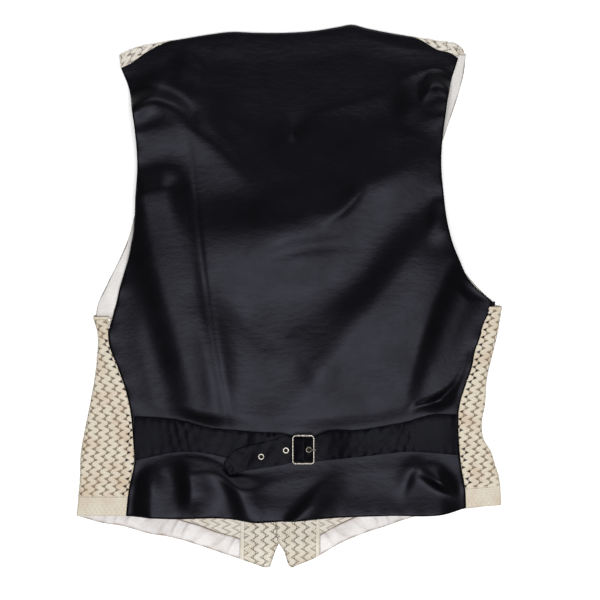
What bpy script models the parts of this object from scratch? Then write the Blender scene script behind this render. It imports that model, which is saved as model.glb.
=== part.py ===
import math

import bmesh
import bpy
import numpy as np
from mathutils import Matrix, Vector
from mathutils.bvhtree import BVHTree

for old in list(bpy.data.objects):
    bpy.data.objects.remove(old, do_unlink=True)

# Sizes in millimetres, made metres when a mesh is written
MM = 0.001
GAP = 0.3
LACE_T = 1.4
FACING_T = 1.0
BACK_T = 1.0
BELT_T = 1.2
FOLD_R = 2.2
FLOOR_Z = LACE_T / 2
TOP_Z = FLOOR_Z + 2 * FOLD_R
HALF_TURN = math.pi * FOLD_R
FACING_STEP = LACE_T / 2 + GAP + FACING_T / 2
SEAM = 0.18

# Front closure, wearer's left front outermost
LEFT_LAP = 9.3
RIGHT_LAP = 9.0
LEFT_FACING_X = 47.6
RIGHT_FACING_X = 39.6
CUT_TOP_Y = -250.0
V_Y = 67.0
BUTTON_D = 15.0
BUTTON_T = 2.0
BUTTON_Y = (40.0, -24.0, -88.0, -152.0, -215.0)
BUTTON_RISE = BUTTON_T + GAP
LAP_RISE = 3.15

# White facings
HEM_FACING_W = 22.0
ARM_FACING_W = 19.0

# Back panel
BACK_BASE = 3.9
REST_DEPTH = 0.3

# Buckle and eyelets
BUCKLE_X = 15.7
BUCKLE_Y = -167.8
BUCKLE_W = 25.3
BUCKLE_H = 33.0
BUCKLE_CORNER = 4.4
WIRE_R = 1.2
PRONG_R = 0.75
EYELET_R = 3.5
EYELET_HOLE_R = 2.1
EYELET_X = (-30.3, -3.3, 21.6)
EYELET_Y = (-175.6, -168.6, -167.8)
BELT_REACH = 3.0

# Side fold seen from above: y, x
SIDE_FOLD = {
    "left": (
        (-242, -234.3), (-211, -231), (-171.6, -228.8), (-145, -224.4), (-118.8, -218.9),
        (-92.4, -214.5), (-66, -211.2), (-39.6, -211.2), (-24.2, -215.6),
    ),
    "right": (
        (-229.9, 234.3), (-198, 231), (-184.8, 226.6), (-171.6, 222.2), (-158.4, 214.5),
        (-145, 212.3), (-118.8, 215.6), (-92.4, 217.8), (-66, 223.3), (-39.6, 229.9),
        (-13.2, 234.3),
    ),
}
# Side seam on the back: y, x
SIDE_SEAM = {
    "left": (
        (-242, -179.3), (-211, -176), (-184.8, -170.5), (-158.4, -171.6), (-132, -173.8),
        (-105.6, -179.3), (-79.2, -188.1), (-52.8, -198), (-39.6, -199.1),
    ),
    "right": (
        (-233.2, 194.7), (-211, 193.6), (-184.8, 189.2), (-158.4, 187), (-132, 185.9),
        (-105.6, 191.4), (-79.2, 200.2), (-52.8, 206.8), (-26.4, 215.6), (-2.2, 224.4),
    ),
}
# Armhole of the back: y, x
BACK_ARM = {
    "left": (
        (-39.6, -199.1), (-13.2, -191.4), (13.2, -184.8), (39.6, -176), (66, -170.5),
        (105.6, -167.2), (145, -166.1), (184.8, -169.4), (224.4, -176), (250.8, -184.8),
    ),
    "right": (
        (-2.2, 224.4), (13.2, 205.7), (26.4, 194.7), (52.8, 180.4), (79.2, 172.7),
        (105.6, 169.4), (145, 166.1), (184.8, 169.4), (224.4, 176), (260.7, 185.9),
    ),
}
# Armhole of the front on the floor: y, x
FRONT_ARM = {
    "left": (
        (-24.2, -212.7), (-13.2, -211.5), (13.2, -200.2), (39.6, -187), (66, -176),
        (92.4, -169.4), (150, -160), (210, -168), (263, -187),
    ),
    "right": (
        (-13.2, 231.4), (5, 212), (35, 187), (70, 169), (120, 160),
        (150, 162.5), (184.8, 173.8), (224.4, 187), (246.4, 192.5), (266, 194.7),
    ),
}
# Shoulder folds and neck edge, the outline at the top: x, y
TOP_LINE = (
    (-188, 265.5), (-168.3, 273.9), (-141.9, 279.4), (-115.5, 283.8), (-89.1, 288.2),
    (-62.7, 291.3), (-40, 290.4), (0, 290.4), (29.7, 292.6), (56.1, 297),
    (69.3, 299.2), (82.5, 295.9), (108.9, 290.4), (135.3, 286), (161.7, 281.6),
    (188.1, 275), (195, 268.4),
)
# Shoulder seam: x, path from the floor side of the fold
SHOULDER_SEAM = {
    "left": (
        (-184.8, 20.2), (-171.6, 19.2), (-158.4, 13.3), (-145.2, 8.0), (-126.5, 3.5),
        (-95, -1), (-62.7, -4),
    ),
    "right": ((69.3, -4), (100, -1), (134, 3.5), (148.5, 8.4), (161.7, 13.9), (174.9, 16.1), (185.9, 18.9)),
}
NECK_X = {"left": -62.7, "right": 69.3}
TIP_X = {"left": -184.8, "right": 185.9}
FOLD_TIP_X = {"left": -187.0, "right": 193.6}
# Hems: x, y
FRONT_HEM = {
    "left": (
        (-234.3, -242), (-207.9, -249.7), (-181.5, -254.1), (-155.1, -261.8), (-128.7, -266.2),
        (-102.3, -273.9), (-75.9, -282.7), (-49.5, -291.5), (-27.5, -299.2),
    ),
    "right": (
        (3.3, -299.2), (29.7, -288.2), (56.1, -272.8), (82.5, -261.8), (108.9, -253),
        (135.3, -244.2), (185, -236), (234.3, -229.9),
    ),
}
BACK_HEM = (
    (-179.3, -242), (-128.7, -244.2), (-62.7, -244.2), (-36.3, -247.5), (-9.9, -246.4),
    (42.9, -243.1), (108.9, -240.9), (174.9, -238.7), (194.7, -233.2),
)
# Cutaway from the tip of each front: y, x
CUTAWAY = {
    "left": ((-299.2, -27.5), (-294.5, -20.9), (-281.6, -15.4), (-271.7, -11), (-250, 3.65)),
    "right": ((-299.2, 3.3), (-293.7, -1.1), (-280.5, -5.5), (-271.7, -11), (-250, -14.65)),
}
# Rows up each front along its inner edge, from the tip to the underarm and on to the shoulder
INNER_SIDE_Y = (-299.2, -294, -283, -270, -250, -224, -197, -170, -142, -114, -86, -58)
INNER_ARM_Y = (-28, 2, 28, 50, 67, 92, 118, 146, 176, 206, 237)
SHOULDER_PATH = (-20, -1.5, 0.5, 2.2, 3.9, 5.6, 7.3, 12.5)
# Folds of the back: name, start x, start y, end x, end y, bow to the right, left width, right width, height
FOLDS = (
    ("blade", -113, 68, 187, 184, 38, 36, 49, 11.0),
    ("armhole_left", -202, 158, -46, 124, -40, 15, 22, 5.0),
    ("armhole_left_top", -189, 183, -107, 199, -20, 15, 20, 11.0),
    ("armhole_left_low", -177, 107, -118, 118, 1, 18, 47, 11.0),
    ("armhole_right", 174, 236, 162, 181, -1, 50, 40, 7.7),
    ("armhole_right_low", 190, 71, 160, 98, -11, 16, 18, 4.3),
    ("side_left", -158, 85, -97, -143, -4, 59, 27, 11.0),
    ("crease_left", -106, 135, -64, -159, 4, 4, 7, -1.7),
    ("inner_left", -89, -20, -77, -136, -4, 19, 18, 4.9),
    ("edge_left", -172, -25, -111, -215, 7, 15, 34, 2.8),
    ("waist_right", 187, 109, 20, -113, 0, 69, 29, 11.0),
    ("cup_right", 66, 58, -22, 44, 3, 11, 10, -2.4),
    ("side_right", 202, 86, 125, -118, 10, 15, 70, 6.2),
    ("edge_right", 149, -8, 189, -140, 5, 43, 19, 1.4),
    ("band_ridge_right", 142, -122, 197, -63, 15, 4, 56, 11.0),
    ("centre_low", 95, -3, -31, -76, 5, 24, 18, 2.0),
    ("skirt_left", -109, -179, -105, -233, -2, 29, 14, 10.3),
    ("skirt_mid_left", -117, -137, -38, -249, -11, 21, 13, 8.7),
    ("skirt_mid_right", 45, -207, -19, -278, 2, 17, 8, 6.6),
    ("skirt_right", 147, -168, 123, -218, 2, 7, 11, 3.2),
    ("skirt_edge_left", -195, -217, -160, -183, -1, 12, 37, 11.0),
    ("skirt_edge_right", 220, -230, 149, -195, -1, 6, 12, 10.5),
    ("neck_left", -123, 272, -82, 260, 6, 7, 40, 5.0),
    ("neck_mid", -39, 243, 65, 243, -11, 29, 22, -8.0),
    ("neck_right", 56, 302, 167, 282, 7, 12, 14, 8.1),
    ("neck_hollow", -105, 268, -20, 258, 7, 6, 14, -8.0),
    ("v_left", -52, 220, 4, 177, -27, 42, 6, -5.5),
    ("v_right", 107, 306, -88, 133, 6, 61, 46, -7.2),
    ("shoulder_left", -178, 193, -131, 257, 5, 18, 10, 2.5),
    ("shoulder_right", 177, 220, 147, 220, 13, 10, 15, 4.9),
    ("cheek_right", 173, 230, 124, 202, 5, 13, 23, 4.1),
    ("blade_small", 82, 122, 42, 82, -4, 6, 10, 2.5),
    ("mid_crease", -62, -6, 24, -60, 10, 56, 15, -2.4),
    ("mid_crease_low", -4, -41, 39, -111, -8, 24, 15, 2.6),
)
# Loft of the back over what lies under it: y, height
LOFT = (
    (-285, 2.2), (-250, 9.0), (-215, 3.6), (-180, 0.6), (-150, 0.9), (-110, -1.5), (-60, -1.3),
    (-10, 0.9), (40, 2.3), (90, 2.4), (140, 8.1), (190, 7.1), (240, -1.2), (290, -0.1),
)
# Band of the back that the half belt holds down: x, y
BELT_HIGH = (
    (-171, -132), (-118.8, -136.8), (-86.9, -145.2), (-31.9, -149.6), (36, -150.6),
    (111.1, -141.9), (149.6, -132), (186.5, -129.8),
)
BELT_LOW = (
    (-171, -181.5), (-125.4, -171.6), (-92.4, -174), (-51.9, -192.9), (-2.5, -184),
    (61.6, -178.2), (134.2, -171), (186.5, -174.9),
)


def smooth(table, where):
    """Cubic curve through the two columns of a table."""
    keys = np.array([row[0] for row in table], float)
    vals = np.array([row[1] for row in table], float)
    slopes = np.gradient(vals, keys)
    where = np.asarray(where, float)
    at = np.clip(where, keys[0], keys[-1])
    k = np.clip(np.searchsorted(keys, at) - 1, 0, len(keys) - 2)
    span = keys[k + 1] - keys[k]
    t = (at - keys[k]) / span
    a = (1 + 2 * t) * (1 - t) ** 2 * vals[k] + t * (1 - t) ** 2 * span * slopes[k]
    b = t * t * (3 - 2 * t) * vals[k + 1] + t * t * (t - 1) * span * slopes[k + 1]
    return a + b


def step(low, high, x):
    t = np.clip((np.asarray(x, float) - low) / (high - low), 0, 1)
    return t * t * (3 - 2 * t)


def centre_x(y):
    return -6 + (np.asarray(y, float) + 271) * 0.0165


def fold_y(x):
    return smooth(TOP_LINE, x) - FOLD_R - LACE_T / 2


def fold_path(x, q):
    """Point on the shoulder fold: q grows from the floor side over the fold to the top side."""
    x = np.asarray(x, float)
    q = np.asarray(q, float)
    turn = np.clip(q / FOLD_R, 0, math.pi)
    y = fold_y(x) + FOLD_R * np.sin(turn) + np.minimum(q, 0) - np.maximum(q - HALF_TURN, 0)
    z = FLOOR_Z + FOLD_R * (1 - np.cos(turn))
    return y, z


def button_ridge(y):
    return step(-260, -226, y) * (1 - step(49, 96, y))


def lap_ridge(y):
    return step(-292, -270, y) * (1 - step(100, 134, y))


def left_front_z(x, y):
    d = np.abs(x - centre_x(y))
    profile = np.interp(d, (9.5, 16, 24, 32), (1, 0.75, 0.3, 0))
    return FLOOR_Z + BUTTON_RISE * profile * button_ridge(y)


def right_front_z(x, y):
    d = x - centre_x(y)
    lap = np.interp(d, (9.8, 16, 24, 32, 39.6), (1, 0.76, 0.34, 0.08, 0))
    rise = np.interp(d, (9.8, 16, 24, 32), (1, 0.7, 0.22, 0))
    return FLOOR_Z + LAP_RISE * lap * lap_ridge(y) + BUTTON_RISE * rise * button_ridge(y)


def front_z(side, x, y):
    return left_front_z(x, y) if side == "left" else right_front_z(x, y)


def vertex_normals(pts, faces):
    """Normals at the points of a sheet of four-sided faces, weighted by angle."""
    normals = np.zeros((len(pts), 3))
    for face in faces:
        loop = pts[list(face)]
        normal = np.cross(loop[2] - loop[0], loop[3] - loop[1])
        length = np.linalg.norm(normal)
        for k in range(4):
            a = loop[k - 1] - loop[k]
            b = loop[(k + 1) % 4] - loop[k]
            angle = math.acos(np.clip(a @ b / (np.linalg.norm(a) * np.linalg.norm(b) + 1e-9), -1, 1))
            normals[face[k]] += normal / (length + 1e-9) * angle
    return normals / (np.linalg.norm(normals, axis=1, keepdims=True) + 1e-9)


def upward_normals(points):
    rows, cols = points.shape[:2]
    normal = vertex_normals(points.reshape(-1, 3), grid_faces(rows, cols))
    normal *= np.sign(normal[:, 2:3])
    return normal.reshape(points.shape)


def make_material(name, colour, rough, metal=0.0):
    material = bpy.data.materials.new(name)
    material.use_nodes = True
    shader = material.node_tree.nodes["Principled BSDF"]
    shader.inputs["Base Color"].default_value = (*colour, 1)
    shader.inputs["Roughness"].default_value = rough
    shader.inputs["Metallic"].default_value = metal
    material.diffuse_color = (*colour, 1)
    return material


def add_mesh(name, verts, faces, material, rounded=True):
    mesh = bpy.data.meshes.new(name)
    mesh.from_pydata([tuple(float(c) * MM for c in v) for v in verts], [], faces)
    mesh.update()
    bm = bmesh.new()
    bm.from_mesh(mesh)
    bmesh.ops.recalc_face_normals(bm, faces=bm.faces[:])
    bm.to_mesh(mesh)
    bm.free()
    mesh.polygons.foreach_set("use_smooth", [rounded] * len(mesh.polygons))
    mesh.materials.append(material)
    obj = bpy.data.objects.new(name, mesh)
    bpy.context.scene.collection.objects.link(obj)
    return obj


def halves(faces, pts=None):
    """Each four-sided face as two triangles: split the same way, or along the shorter diagonal of pts."""
    found = []
    for a, b, c, d in faces:
        if pts is not None and np.linalg.norm(pts[a] - pts[c]) > np.linalg.norm(pts[b] - pts[d]):
            a, b, c, d = b, c, d, a
        found += [(a, b, c), (a, c, d)]
    return found


def grid_faces(rows, cols, skip=()):
    faces = []
    for j in range(rows - 1):
        for i in range(cols - 1):
            if (j, i) not in skip:
                k = j * cols + i
                faces.append((k, k + 1, k + cols + 1, k + cols))
    return faces


def add_sheet(name, points, thickness, material, faces=None, known=None, shorter=False):
    """A sheet of cloth of even thickness about a grid of middle points."""
    rows, cols = points.shape[:2]
    faces = faces or grid_faces(rows, cols)
    return sheet_from_faces(name, points.reshape(-1, 3), faces, thickness, material, known, shorter)


def seam_gap(q):
    """Half the space at the shoulder seam, a little wider where the seam crosses the fold."""
    return SEAM + 0.3 * np.exp(-(((q - 5.5) / 3.5) ** 2))


def fold_normal(q):
    turn = np.clip(q / FOLD_R, 0, math.pi)
    return np.stack((np.zeros_like(turn), np.sin(turn), -np.cos(turn)), axis=-1)


def sheet_from_faces(name, verts, faces, thickness, material, known=None, shorter=False):
    """A sheet of even thickness; known gives the normals of points that lie on a shared fold."""
    pts = np.array(verts, float)
    normals = vertex_normals(pts, faces)
    for k, direction in (known or {}).items():
        normals[k] = direction * math.copysign(1, normals[k] @ direction)
    used = sorted({k for face in faces for k in face})
    order = {k: i for i, k in enumerate(used)}
    count = len(used)
    upper = pts[used] + normals[used] * thickness / 2
    lower = pts[used] - normals[used] * thickness / 2
    out_faces = []
    edges = {}
    for face in faces:
        ring = [order[k] for k in face]
        for a, b, c in halves([ring], pts[used] if shorter else None):
            out_faces.append((a, b, c))
            out_faces.append((count + c, count + b, count + a))
        for a, b in zip(ring, ring[1:] + ring[:1]):
            edges[(a, b)] = edges.get((a, b), 0) + 1
    both = np.vstack((upper, lower))
    for a, b in edges:
        if (b, a) in edges:
            continue
        out_faces += halves([(b, a, count + a, count + b)], both)
    return add_mesh(name, both, out_faces, material)


def front_columns(side, inner, outer, y):
    """Column places of a front from its inner edge to its outer edge."""
    sign = -1 if side == "left" else 1
    lap = LEFT_LAP if side == "left" else RIGHT_LAP
    facing = LEFT_FACING_X if side == "left" else RIGHT_FACING_X
    near = np.array((0, lap, lap + 9.5, lap + 16, lap + 24, lap + 32, lap + facing))
    if y < CUT_TOP_Y:
        edge = centre_x(y) + sign * facing
        near = near * (sign * (edge - inner)) / (lap + facing)
    width = sign * (outer - inner)
    places = np.concatenate((near, np.linspace(near[-1], width, 7)[1:]))
    return inner + sign * places


def inner_edge_x(side, y):
    lap = LEFT_LAP if side == "left" else -RIGHT_LAP
    if y < CUT_TOP_Y:
        return float(smooth(CUTAWAY[side], y))
    if y <= V_Y:
        return float(centre_x(y) + lap)
    top = float(fold_y(NECK_X[side]))
    start = float(centre_x(V_Y) + lap)
    t = min(1, (y - V_Y) / (top - 4 - V_Y))
    return start + (NECK_X[side] - start) * (t + 0.06 * math.sin(math.pi * t))


def build_front(side):
    sign = -1 if side == "left" else 1
    side_rows = len(INNER_SIDE_Y)
    fold_low = SIDE_FOLD[side][0][0]
    fold_high = SIDE_FOLD[side][-1][0]
    outer_side = np.linspace(fold_low, fold_high, side_rows)
    neck_top = float(fold_y(NECK_X[side])) + SHOULDER_PATH[0]
    tip_top = float(fold_y(FOLD_TIP_X[side])) + SHOULDER_PATH[0]
    inner_y = list(INNER_SIDE_Y) + list(INNER_ARM_Y) + [neck_top]
    outer_y = list(outer_side) + list(np.linspace(fold_high, tip_top, len(INNER_ARM_Y) + 2)[1:])
    rows = []
    for j, (yi, yo) in enumerate(zip(inner_y, outer_y)):
        inner = inner_edge_x(side, yi)
        if j < side_rows:
            outer = float(smooth(SIDE_FOLD[side], yo)) - sign * (FOLD_R + LACE_T / 2)
        else:
            outer = float(smooth(FRONT_ARM[side], yo))
        rows.append(front_columns(side, inner, outer, yi))
    xs = np.array(rows)
    hem_y = smooth(FRONT_HEM[side], xs[0])
    hem_y[0] = INNER_SIDE_Y[0]
    top_y = fold_y(xs[-1]) + SHOULDER_PATH[0]
    vi = (np.array(inner_y) - inner_y[0]) / (inner_y[-1] - inner_y[0])
    vo = (np.array(outer_y) - outer_y[0]) / (outer_y[-1] - outer_y[0])
    u = (xs - xs[:, :1]) / (xs[:, -1:] - xs[:, :1])
    v = vi[:, None] * (1 - u) + vo[:, None] * u
    ys = hem_y[None] + v * (top_y - hem_y)[None]
    zs = front_z(side, xs, ys)
    floor = np.stack((xs, ys, zs), axis=2)
    # Over the shoulder to the seam
    seam_x = front_columns(side, NECK_X[side], TIP_X[side], 200)
    q_end = smooth(SHOULDER_SEAM[side], seam_x)
    q_end = q_end - seam_gap(q_end)
    steps = len(SHOULDER_PATH)
    shoulder = []
    known = {}
    for j in range(1, steps + 1):
        fixed = SHOULDER_PATH[j] if j < steps else 999
        q = np.minimum(fixed, q_end - 0.8 * (steps - j))
        t = np.clip((q - SHOULDER_PATH[0]) / (q_end - SHOULDER_PATH[0]), 0, 1)
        start_x = xs[-1]
        past_fold = np.clip((q - HALF_TURN) / np.maximum(q_end - HALF_TURN, 1), 0, 1)
        lean = np.where(np.abs(seam_x) > 100, past_fold, 1)
        edge = float(FOLD_TIP_X[side] - TIP_X[side])
        share = (seam_x - NECK_X[side]) / (TIP_X[side] - NECK_X[side])
        x = start_x + (seam_x + edge * share - start_x) * t - edge * share * lean * (t > 0)
        if j == steps:
            x = seam_x
        y, z = fold_path(x, q)
        shoulder.append(np.stack((x, y, z), axis=1))
        for i, direction in enumerate(fold_normal(q)):
            known[(len(rows) + j - 1) * len(x) + i] = direction
    grid = np.concatenate((floor, np.array(shoulder)), axis=0)
    # Round the side to the seam on the back
    seam_y = np.linspace(SIDE_SEAM[side][0][0], SIDE_SEAM[side][-1][0], side_rows)
    wrap = []
    turns = np.linspace(0, math.pi, 6)[1:]
    for j in range(side_rows):
        xc = xs[j, -1]
        yf = ys[j, -1]
        sx = float(smooth(SIDE_SEAM[side], seam_y[j])) + sign * SEAM
        line = [(xc + sign * FOLD_R * math.sin(a), yf, FLOOR_Z + FOLD_R * (1 - math.cos(a))) for a in turns]
        for t in (0.33, 0.66, 1.0):
            line.append((xc + (sx - xc) * t, yf + (seam_y[j] - yf) * t, TOP_Z))
        wrap.append(line)
    wrap = np.array(wrap)
    nrow, ncol = grid.shape[:2]
    verts = [tuple(p) for p in grid.reshape(-1, 3)]
    faces = grid_faces(nrow, ncol)
    base = len(verts)
    verts += [tuple(p) for p in wrap.reshape(-1, 3)]
    wcol = wrap.shape[1]

    def wrap_id(j, i):
        return j * ncol + ncol - 1 if i < 0 else base + j * wcol + i

    for j in range(side_rows - 1):
        for i in range(-1, wcol - 1):
            faces.append((wrap_id(j, i), wrap_id(j, i + 1), wrap_id(j + 1, i + 1), wrap_id(j + 1, i)))
    sheet_from_faces("front_" + side, verts, faces, LACE_T, lace, known)
    return grid, seam_x, seam_y


def fold_heights(x, y):
    total = np.zeros_like(x)
    for name, x0, y0, x1, y1, bow, left_width, right_width, height in FOLDS:
        dx = x1 - x0
        dy = y1 - y0
        length = math.hypot(dx, dy)
        along = ((x - x0) * dx + (y - y0) * dy) / length ** 2
        side = ((x - x0) * dy - (y - y0) * dx) / length - bow * np.sin(math.pi * np.clip(along, 0, 1))
        width = np.where(side > 0, right_width, left_width)
        ends = step(-0.25, 0.35, along) * (1 - step(0.65, 1.25, along))
        total += height * ends * np.exp(-((side / width) ** 2))
    return total


def rest_softly(rise):
    """Lets the cloth down to what lies under it without a crease."""
    above = rise + REST_DEPTH
    return -REST_DEPTH + 0.5 * (above + np.sqrt(above ** 2 + 2))


def back_level(x, y):
    """Height of the back's middle where no seam holds it."""
    d = np.abs(x - centre_x(y))
    ridge = 1 - step(0, 96, d)
    held = LAP_RISE * (1 - step(84, 170, y)) + BUTTON_RISE * step(-270, -226, y) * (1 - step(40, 130, y))
    from_belt = np.maximum(y - smooth(BELT_HIGH, x), smooth(BELT_LOW, x) - y)
    loose = 0.14 + 0.86 * step(0, 20, from_belt)
    lofted = rest_softly(smooth(LOFT, y) + fold_heights(x, y))
    return BACK_BASE + (held + 0.15) * ridge + lofted * loose


def build_back(seam_left, side_left, seam_right, side_right):
    neck = np.linspace(NECK_X["left"], NECK_X["right"], 11)[1:-1]
    top_x = np.concatenate((seam_left[::-1], neck, seam_right))
    q_start = np.empty_like(top_x)
    for i, x in enumerate(top_x):
        if x <= NECK_X["left"]:
            q_start[i] = smooth(SHOULDER_SEAM["left"], x)
        elif x >= NECK_X["right"]:
            q_start[i] = smooth(SHOULDER_SEAM["right"], x)
        else:
            inside = min(x - NECK_X["left"], NECK_X["right"] - x)
            q_start[i] = -4 + 5 * float(step(0, 30, inside))
    q_start += seam_gap(q_start)
    fixed = (0.5, 2.2, 3.9, 5.6, 7.3, 13, 22, 34)
    qs = [q_start]
    for j, value in enumerate(fixed):
        qs.append(np.maximum(value, q_start + 1.2 * (j + 1)))
    top_rows = len(qs)
    left = [float(fold_path(top_x[0], q[0])[0]) for q in qs]
    right = [float(fold_path(top_x[-1], q[-1])[0]) for q in qs]
    arm_rows = 13
    left_arm = np.linspace(left[-1], SIDE_SEAM["left"][-1][0], arm_rows + 1)[1:]
    right_arm = np.linspace(right[-1], SIDE_SEAM["right"][-1][0], arm_rows + 1)[1:]
    left_y = np.concatenate((left, left_arm, side_left[::-1][1:]))
    right_y = np.concatenate((right, right_arm, side_right[::-1][1:]))
    under = top_rows + arm_rows - 1
    above = np.arange(len(left_y)) <= under
    left_x = np.where(above, smooth(BACK_ARM["left"], left_y), smooth(SIDE_SEAM["left"], left_y))
    right_x = np.where(above, smooth(BACK_ARM["right"], right_y), smooth(SIDE_SEAM["right"], right_y))
    left_x[0] = top_x[0]
    right_x[0] = top_x[-1]
    left_x[under:] += SEAM
    right_x[under:] -= SEAM
    u = (top_x - top_x[0]) / (top_x[-1] - top_x[0])
    xs = left_x[:, None] * (1 - u) + right_x[:, None] * u
    ys = np.zeros_like(xs)
    zs = np.zeros_like(xs)
    for j, q in enumerate(qs):
        ys[j], zs[j] = fold_path(xs[j], q)
    start = ys[top_rows - 1]
    hem = smooth(BACK_HEM, xs[-1])
    hem[0] = left_y[-1]
    hem[-1] = right_y[-1]
    vl = (left_y - left_y[top_rows - 1]) / (left_y[-1] - left_y[top_rows - 1])
    vr = (right_y - right_y[top_rows - 1]) / (right_y[-1] - right_y[top_rows - 1])
    for j in range(top_rows, len(left_y)):
        v = vl[j] * (1 - u) + vr[j] * u
        ys[j] = start + v * (hem - start)
    level = back_level(xs, ys)
    path = HALF_TURN + fold_y(xs) - ys
    for j, q in enumerate(qs):
        path[j] = q
    held_top = 1 - step(HALF_TURN + 3, HALF_TURN + 32, path)
    from_left = step(4, 30, xs - left_x[:, None])
    from_right = step(4, 30, right_x[:, None] - xs)
    low_left = 1 - step(-36, -6, ys)
    low_right = 1 - step(-2, 26, ys)
    held_side = np.maximum((1 - from_left) * low_left, (1 - from_right) * low_right)
    held = np.maximum(held_top, held_side)
    in_fold = path < HALF_TURN
    zs = np.where(in_fold, zs, level + (TOP_Z - level) * held)
    grid = np.stack((xs, ys, zs), axis=2)
    known = {}
    for j, q in enumerate(qs):
        for i, direction in enumerate(fold_normal(q)):
            if q[i] < HALF_TURN + 3:
                known[j * len(q) + i] = direction
    add_sheet("back", grid, BACK_T, satin, known=known, shorter=True)
    return grid


def build_facings(side, grid):
    rows = len(INNER_SIDE_Y) + len(INNER_ARM_Y) + 1
    normal = upward_normals(grid)[:rows, :7]
    strip = grid[:rows, :7] + normal * FACING_STEP
    known = dict(enumerate(normal.reshape(-1, 3)))
    add_sheet("front_facing_" + side, strip, FACING_T, facing_lace, known=known)
    sign = -1 if side == "left" else 1
    z = FLOOR_Z + FACING_STEP
    # Along the hem, from the lace facing to the side
    start = grid[0, 6, 0] + sign * 0.6
    end = SIDE_FOLD[side][0][1] - sign * 4.5
    x = np.linspace(start, end, 13)
    low = smooth(FRONT_HEM[side], x) + 0.4
    lines = []
    for t in (0, 0.5, 1):
        lines.append(np.stack((x, low + t * (HEM_FACING_W - 0.4), np.full_like(x, z)), axis=1))
    add_sheet("hem_facing_" + side, np.array(lines), FACING_T, white_satin)
    # Along the armhole, from the underarm to the shoulder
    y_low = FRONT_ARM[side][0][0] + 1.0
    y_high = float(fold_y(FOLD_TIP_X[side])) - 1.6
    y = np.linspace(y_low, y_high, 17)
    x = smooth(FRONT_ARM[side], y)
    slope = np.gradient(x, y)
    length = np.sqrt(1 + slope ** 2)
    lines = []
    for t in (0.02, 0.5, 1):
        px = x - sign * t * ARM_FACING_W / length
        py = y + sign * t * ARM_FACING_W * slope / length
        py[-1] = y[-1]
        py[0] = y[0]
        top = fold_y(px) - 1.6
        lines.append(np.stack((px, np.minimum(py, top), np.full_like(px, z)), axis=1))
    add_sheet("armhole_facing_" + side, np.array(lines), FACING_T, white_satin)


def surface_z(tree, x, y):
    hit = tree.ray_cast(Vector((x, y, 100)), Vector((0, 0, -1)))[0]
    return hit.z if hit else None


def resting(tree, xs, bottom, top, clear):
    """Height over the cloth below a strap, the same across its width; the edges are tables of x, y."""
    raw = []
    for x in xs:
        low = float(smooth(bottom, x)) - BELT_REACH
        high = float(smooth(top, x)) + BELT_REACH
        hits = []
        for dx in (-9, -4, 0, 4, 9):
            for y in np.linspace(low, high, 9):
                hits.append(surface_z(tree, x + dx, y))
        raw.append(max(h for h in hits if h is not None))
    return np.array(raw) + clear


def add_tube(name, path, radius, material, closed=False, sides=10, flat=None):
    """A round wire along a path."""
    pts = [Vector(p) for p in path]
    count = len(pts)
    verts = []
    for k, p in enumerate(pts):
        before = pts[k - 1] if closed or k > 0 else pts[k]
        after = pts[(k + 1) % count] if closed or k < count - 1 else pts[k]
        tangent = (after - before).normalized()
        side = flat.cross(tangent).normalized()
        up = tangent.cross(side).normalized()
        for s in range(sides):
            a = 2 * math.pi * s / sides
            verts.append(p + (side * math.cos(a) + up * math.sin(a)) * radius)
    faces = []
    for k in range(count if closed else count - 1):
        for s in range(sides):
            a = k * sides + s
            b = k * sides + (s + 1) % sides
            c = (k + 1) % count * sides + (s + 1) % sides
            d = (k + 1) % count * sides + s
            faces.append((a, b, c, d))
    if not closed:
        faces.append(tuple(range(sides)))
        faces.append(tuple(reversed(range((count - 1) * sides, count * sides))))
    return add_mesh(name, verts, faces, material)


def ring_solid(name, profile, centre, tilt, material, count=20):
    """A closed profile turned about its own axis: radius, height."""
    verts = []
    turn = Matrix.Rotation(tilt, 3, "Y")
    for k in range(count):
        a = 2 * math.pi * k / count
        for r, h in profile:
            verts.append(turn @ Vector((r * math.cos(a), r * math.sin(a), h)) + Vector(centre))
    n = len(profile)
    faces = []
    for k in range(count):
        for s in range(n):
            near = k * n
            far = (k + 1) % count * n
            after = (s + 1) % n
            faces.append((near + s, near + after, far + after, far + s))
    return add_mesh(name, verts, faces, material)


def add_button(number, y):
    x = float(centre_x(y))
    r = BUTTON_D / 2
    profile = ((r - 0.6, 0), (r, 0.6), (r, 1.4), (r - 0.6, BUTTON_T))
    verts = []
    count = 20
    for rr, h in profile:
        for k in range(count):
            a = 2 * math.pi * k / count
            verts.append((x + rr * math.cos(a), y + rr * math.sin(a), h))
    top = (len(profile) - 1) * count
    faces = [tuple(range(count)), tuple(reversed(range(top, top + count)))]
    for s in range(len(profile) - 1):
        for k in range(count):
            a = s * count + k
            b = s * count + (k + 1) % count
            faces.append((a, b, b + count, a + count))
    add_mesh("button_" + str(number), verts, faces, horn)


satin = make_material("satin_black", (0.012, 0.012, 0.016), 0.35)
lace = make_material("lace_cream", (0.68, 0.56, 0.40), 0.85)
facing_lace = make_material("lace_facing", (0.72, 0.60, 0.44), 0.85)
white_satin = make_material("satin_white", (0.82, 0.80, 0.76), 0.45)
belt_satin = make_material("belt_satin", (0.014, 0.014, 0.018), 0.38)
metal = make_material("buckle_metal", (0.55, 0.52, 0.46), 0.35, 1.0)
horn = make_material("button_plain", (0.10, 0.09, 0.08), 0.4)

left_grid, left_seam_x, left_seam_y = build_front("left")
right_grid, right_seam_x, right_seam_y = build_front("right")
build_facings("left", left_grid)
build_facings("right", right_grid)
back_grid = build_back(left_seam_x, left_seam_y, right_seam_x, right_seam_y)

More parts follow.
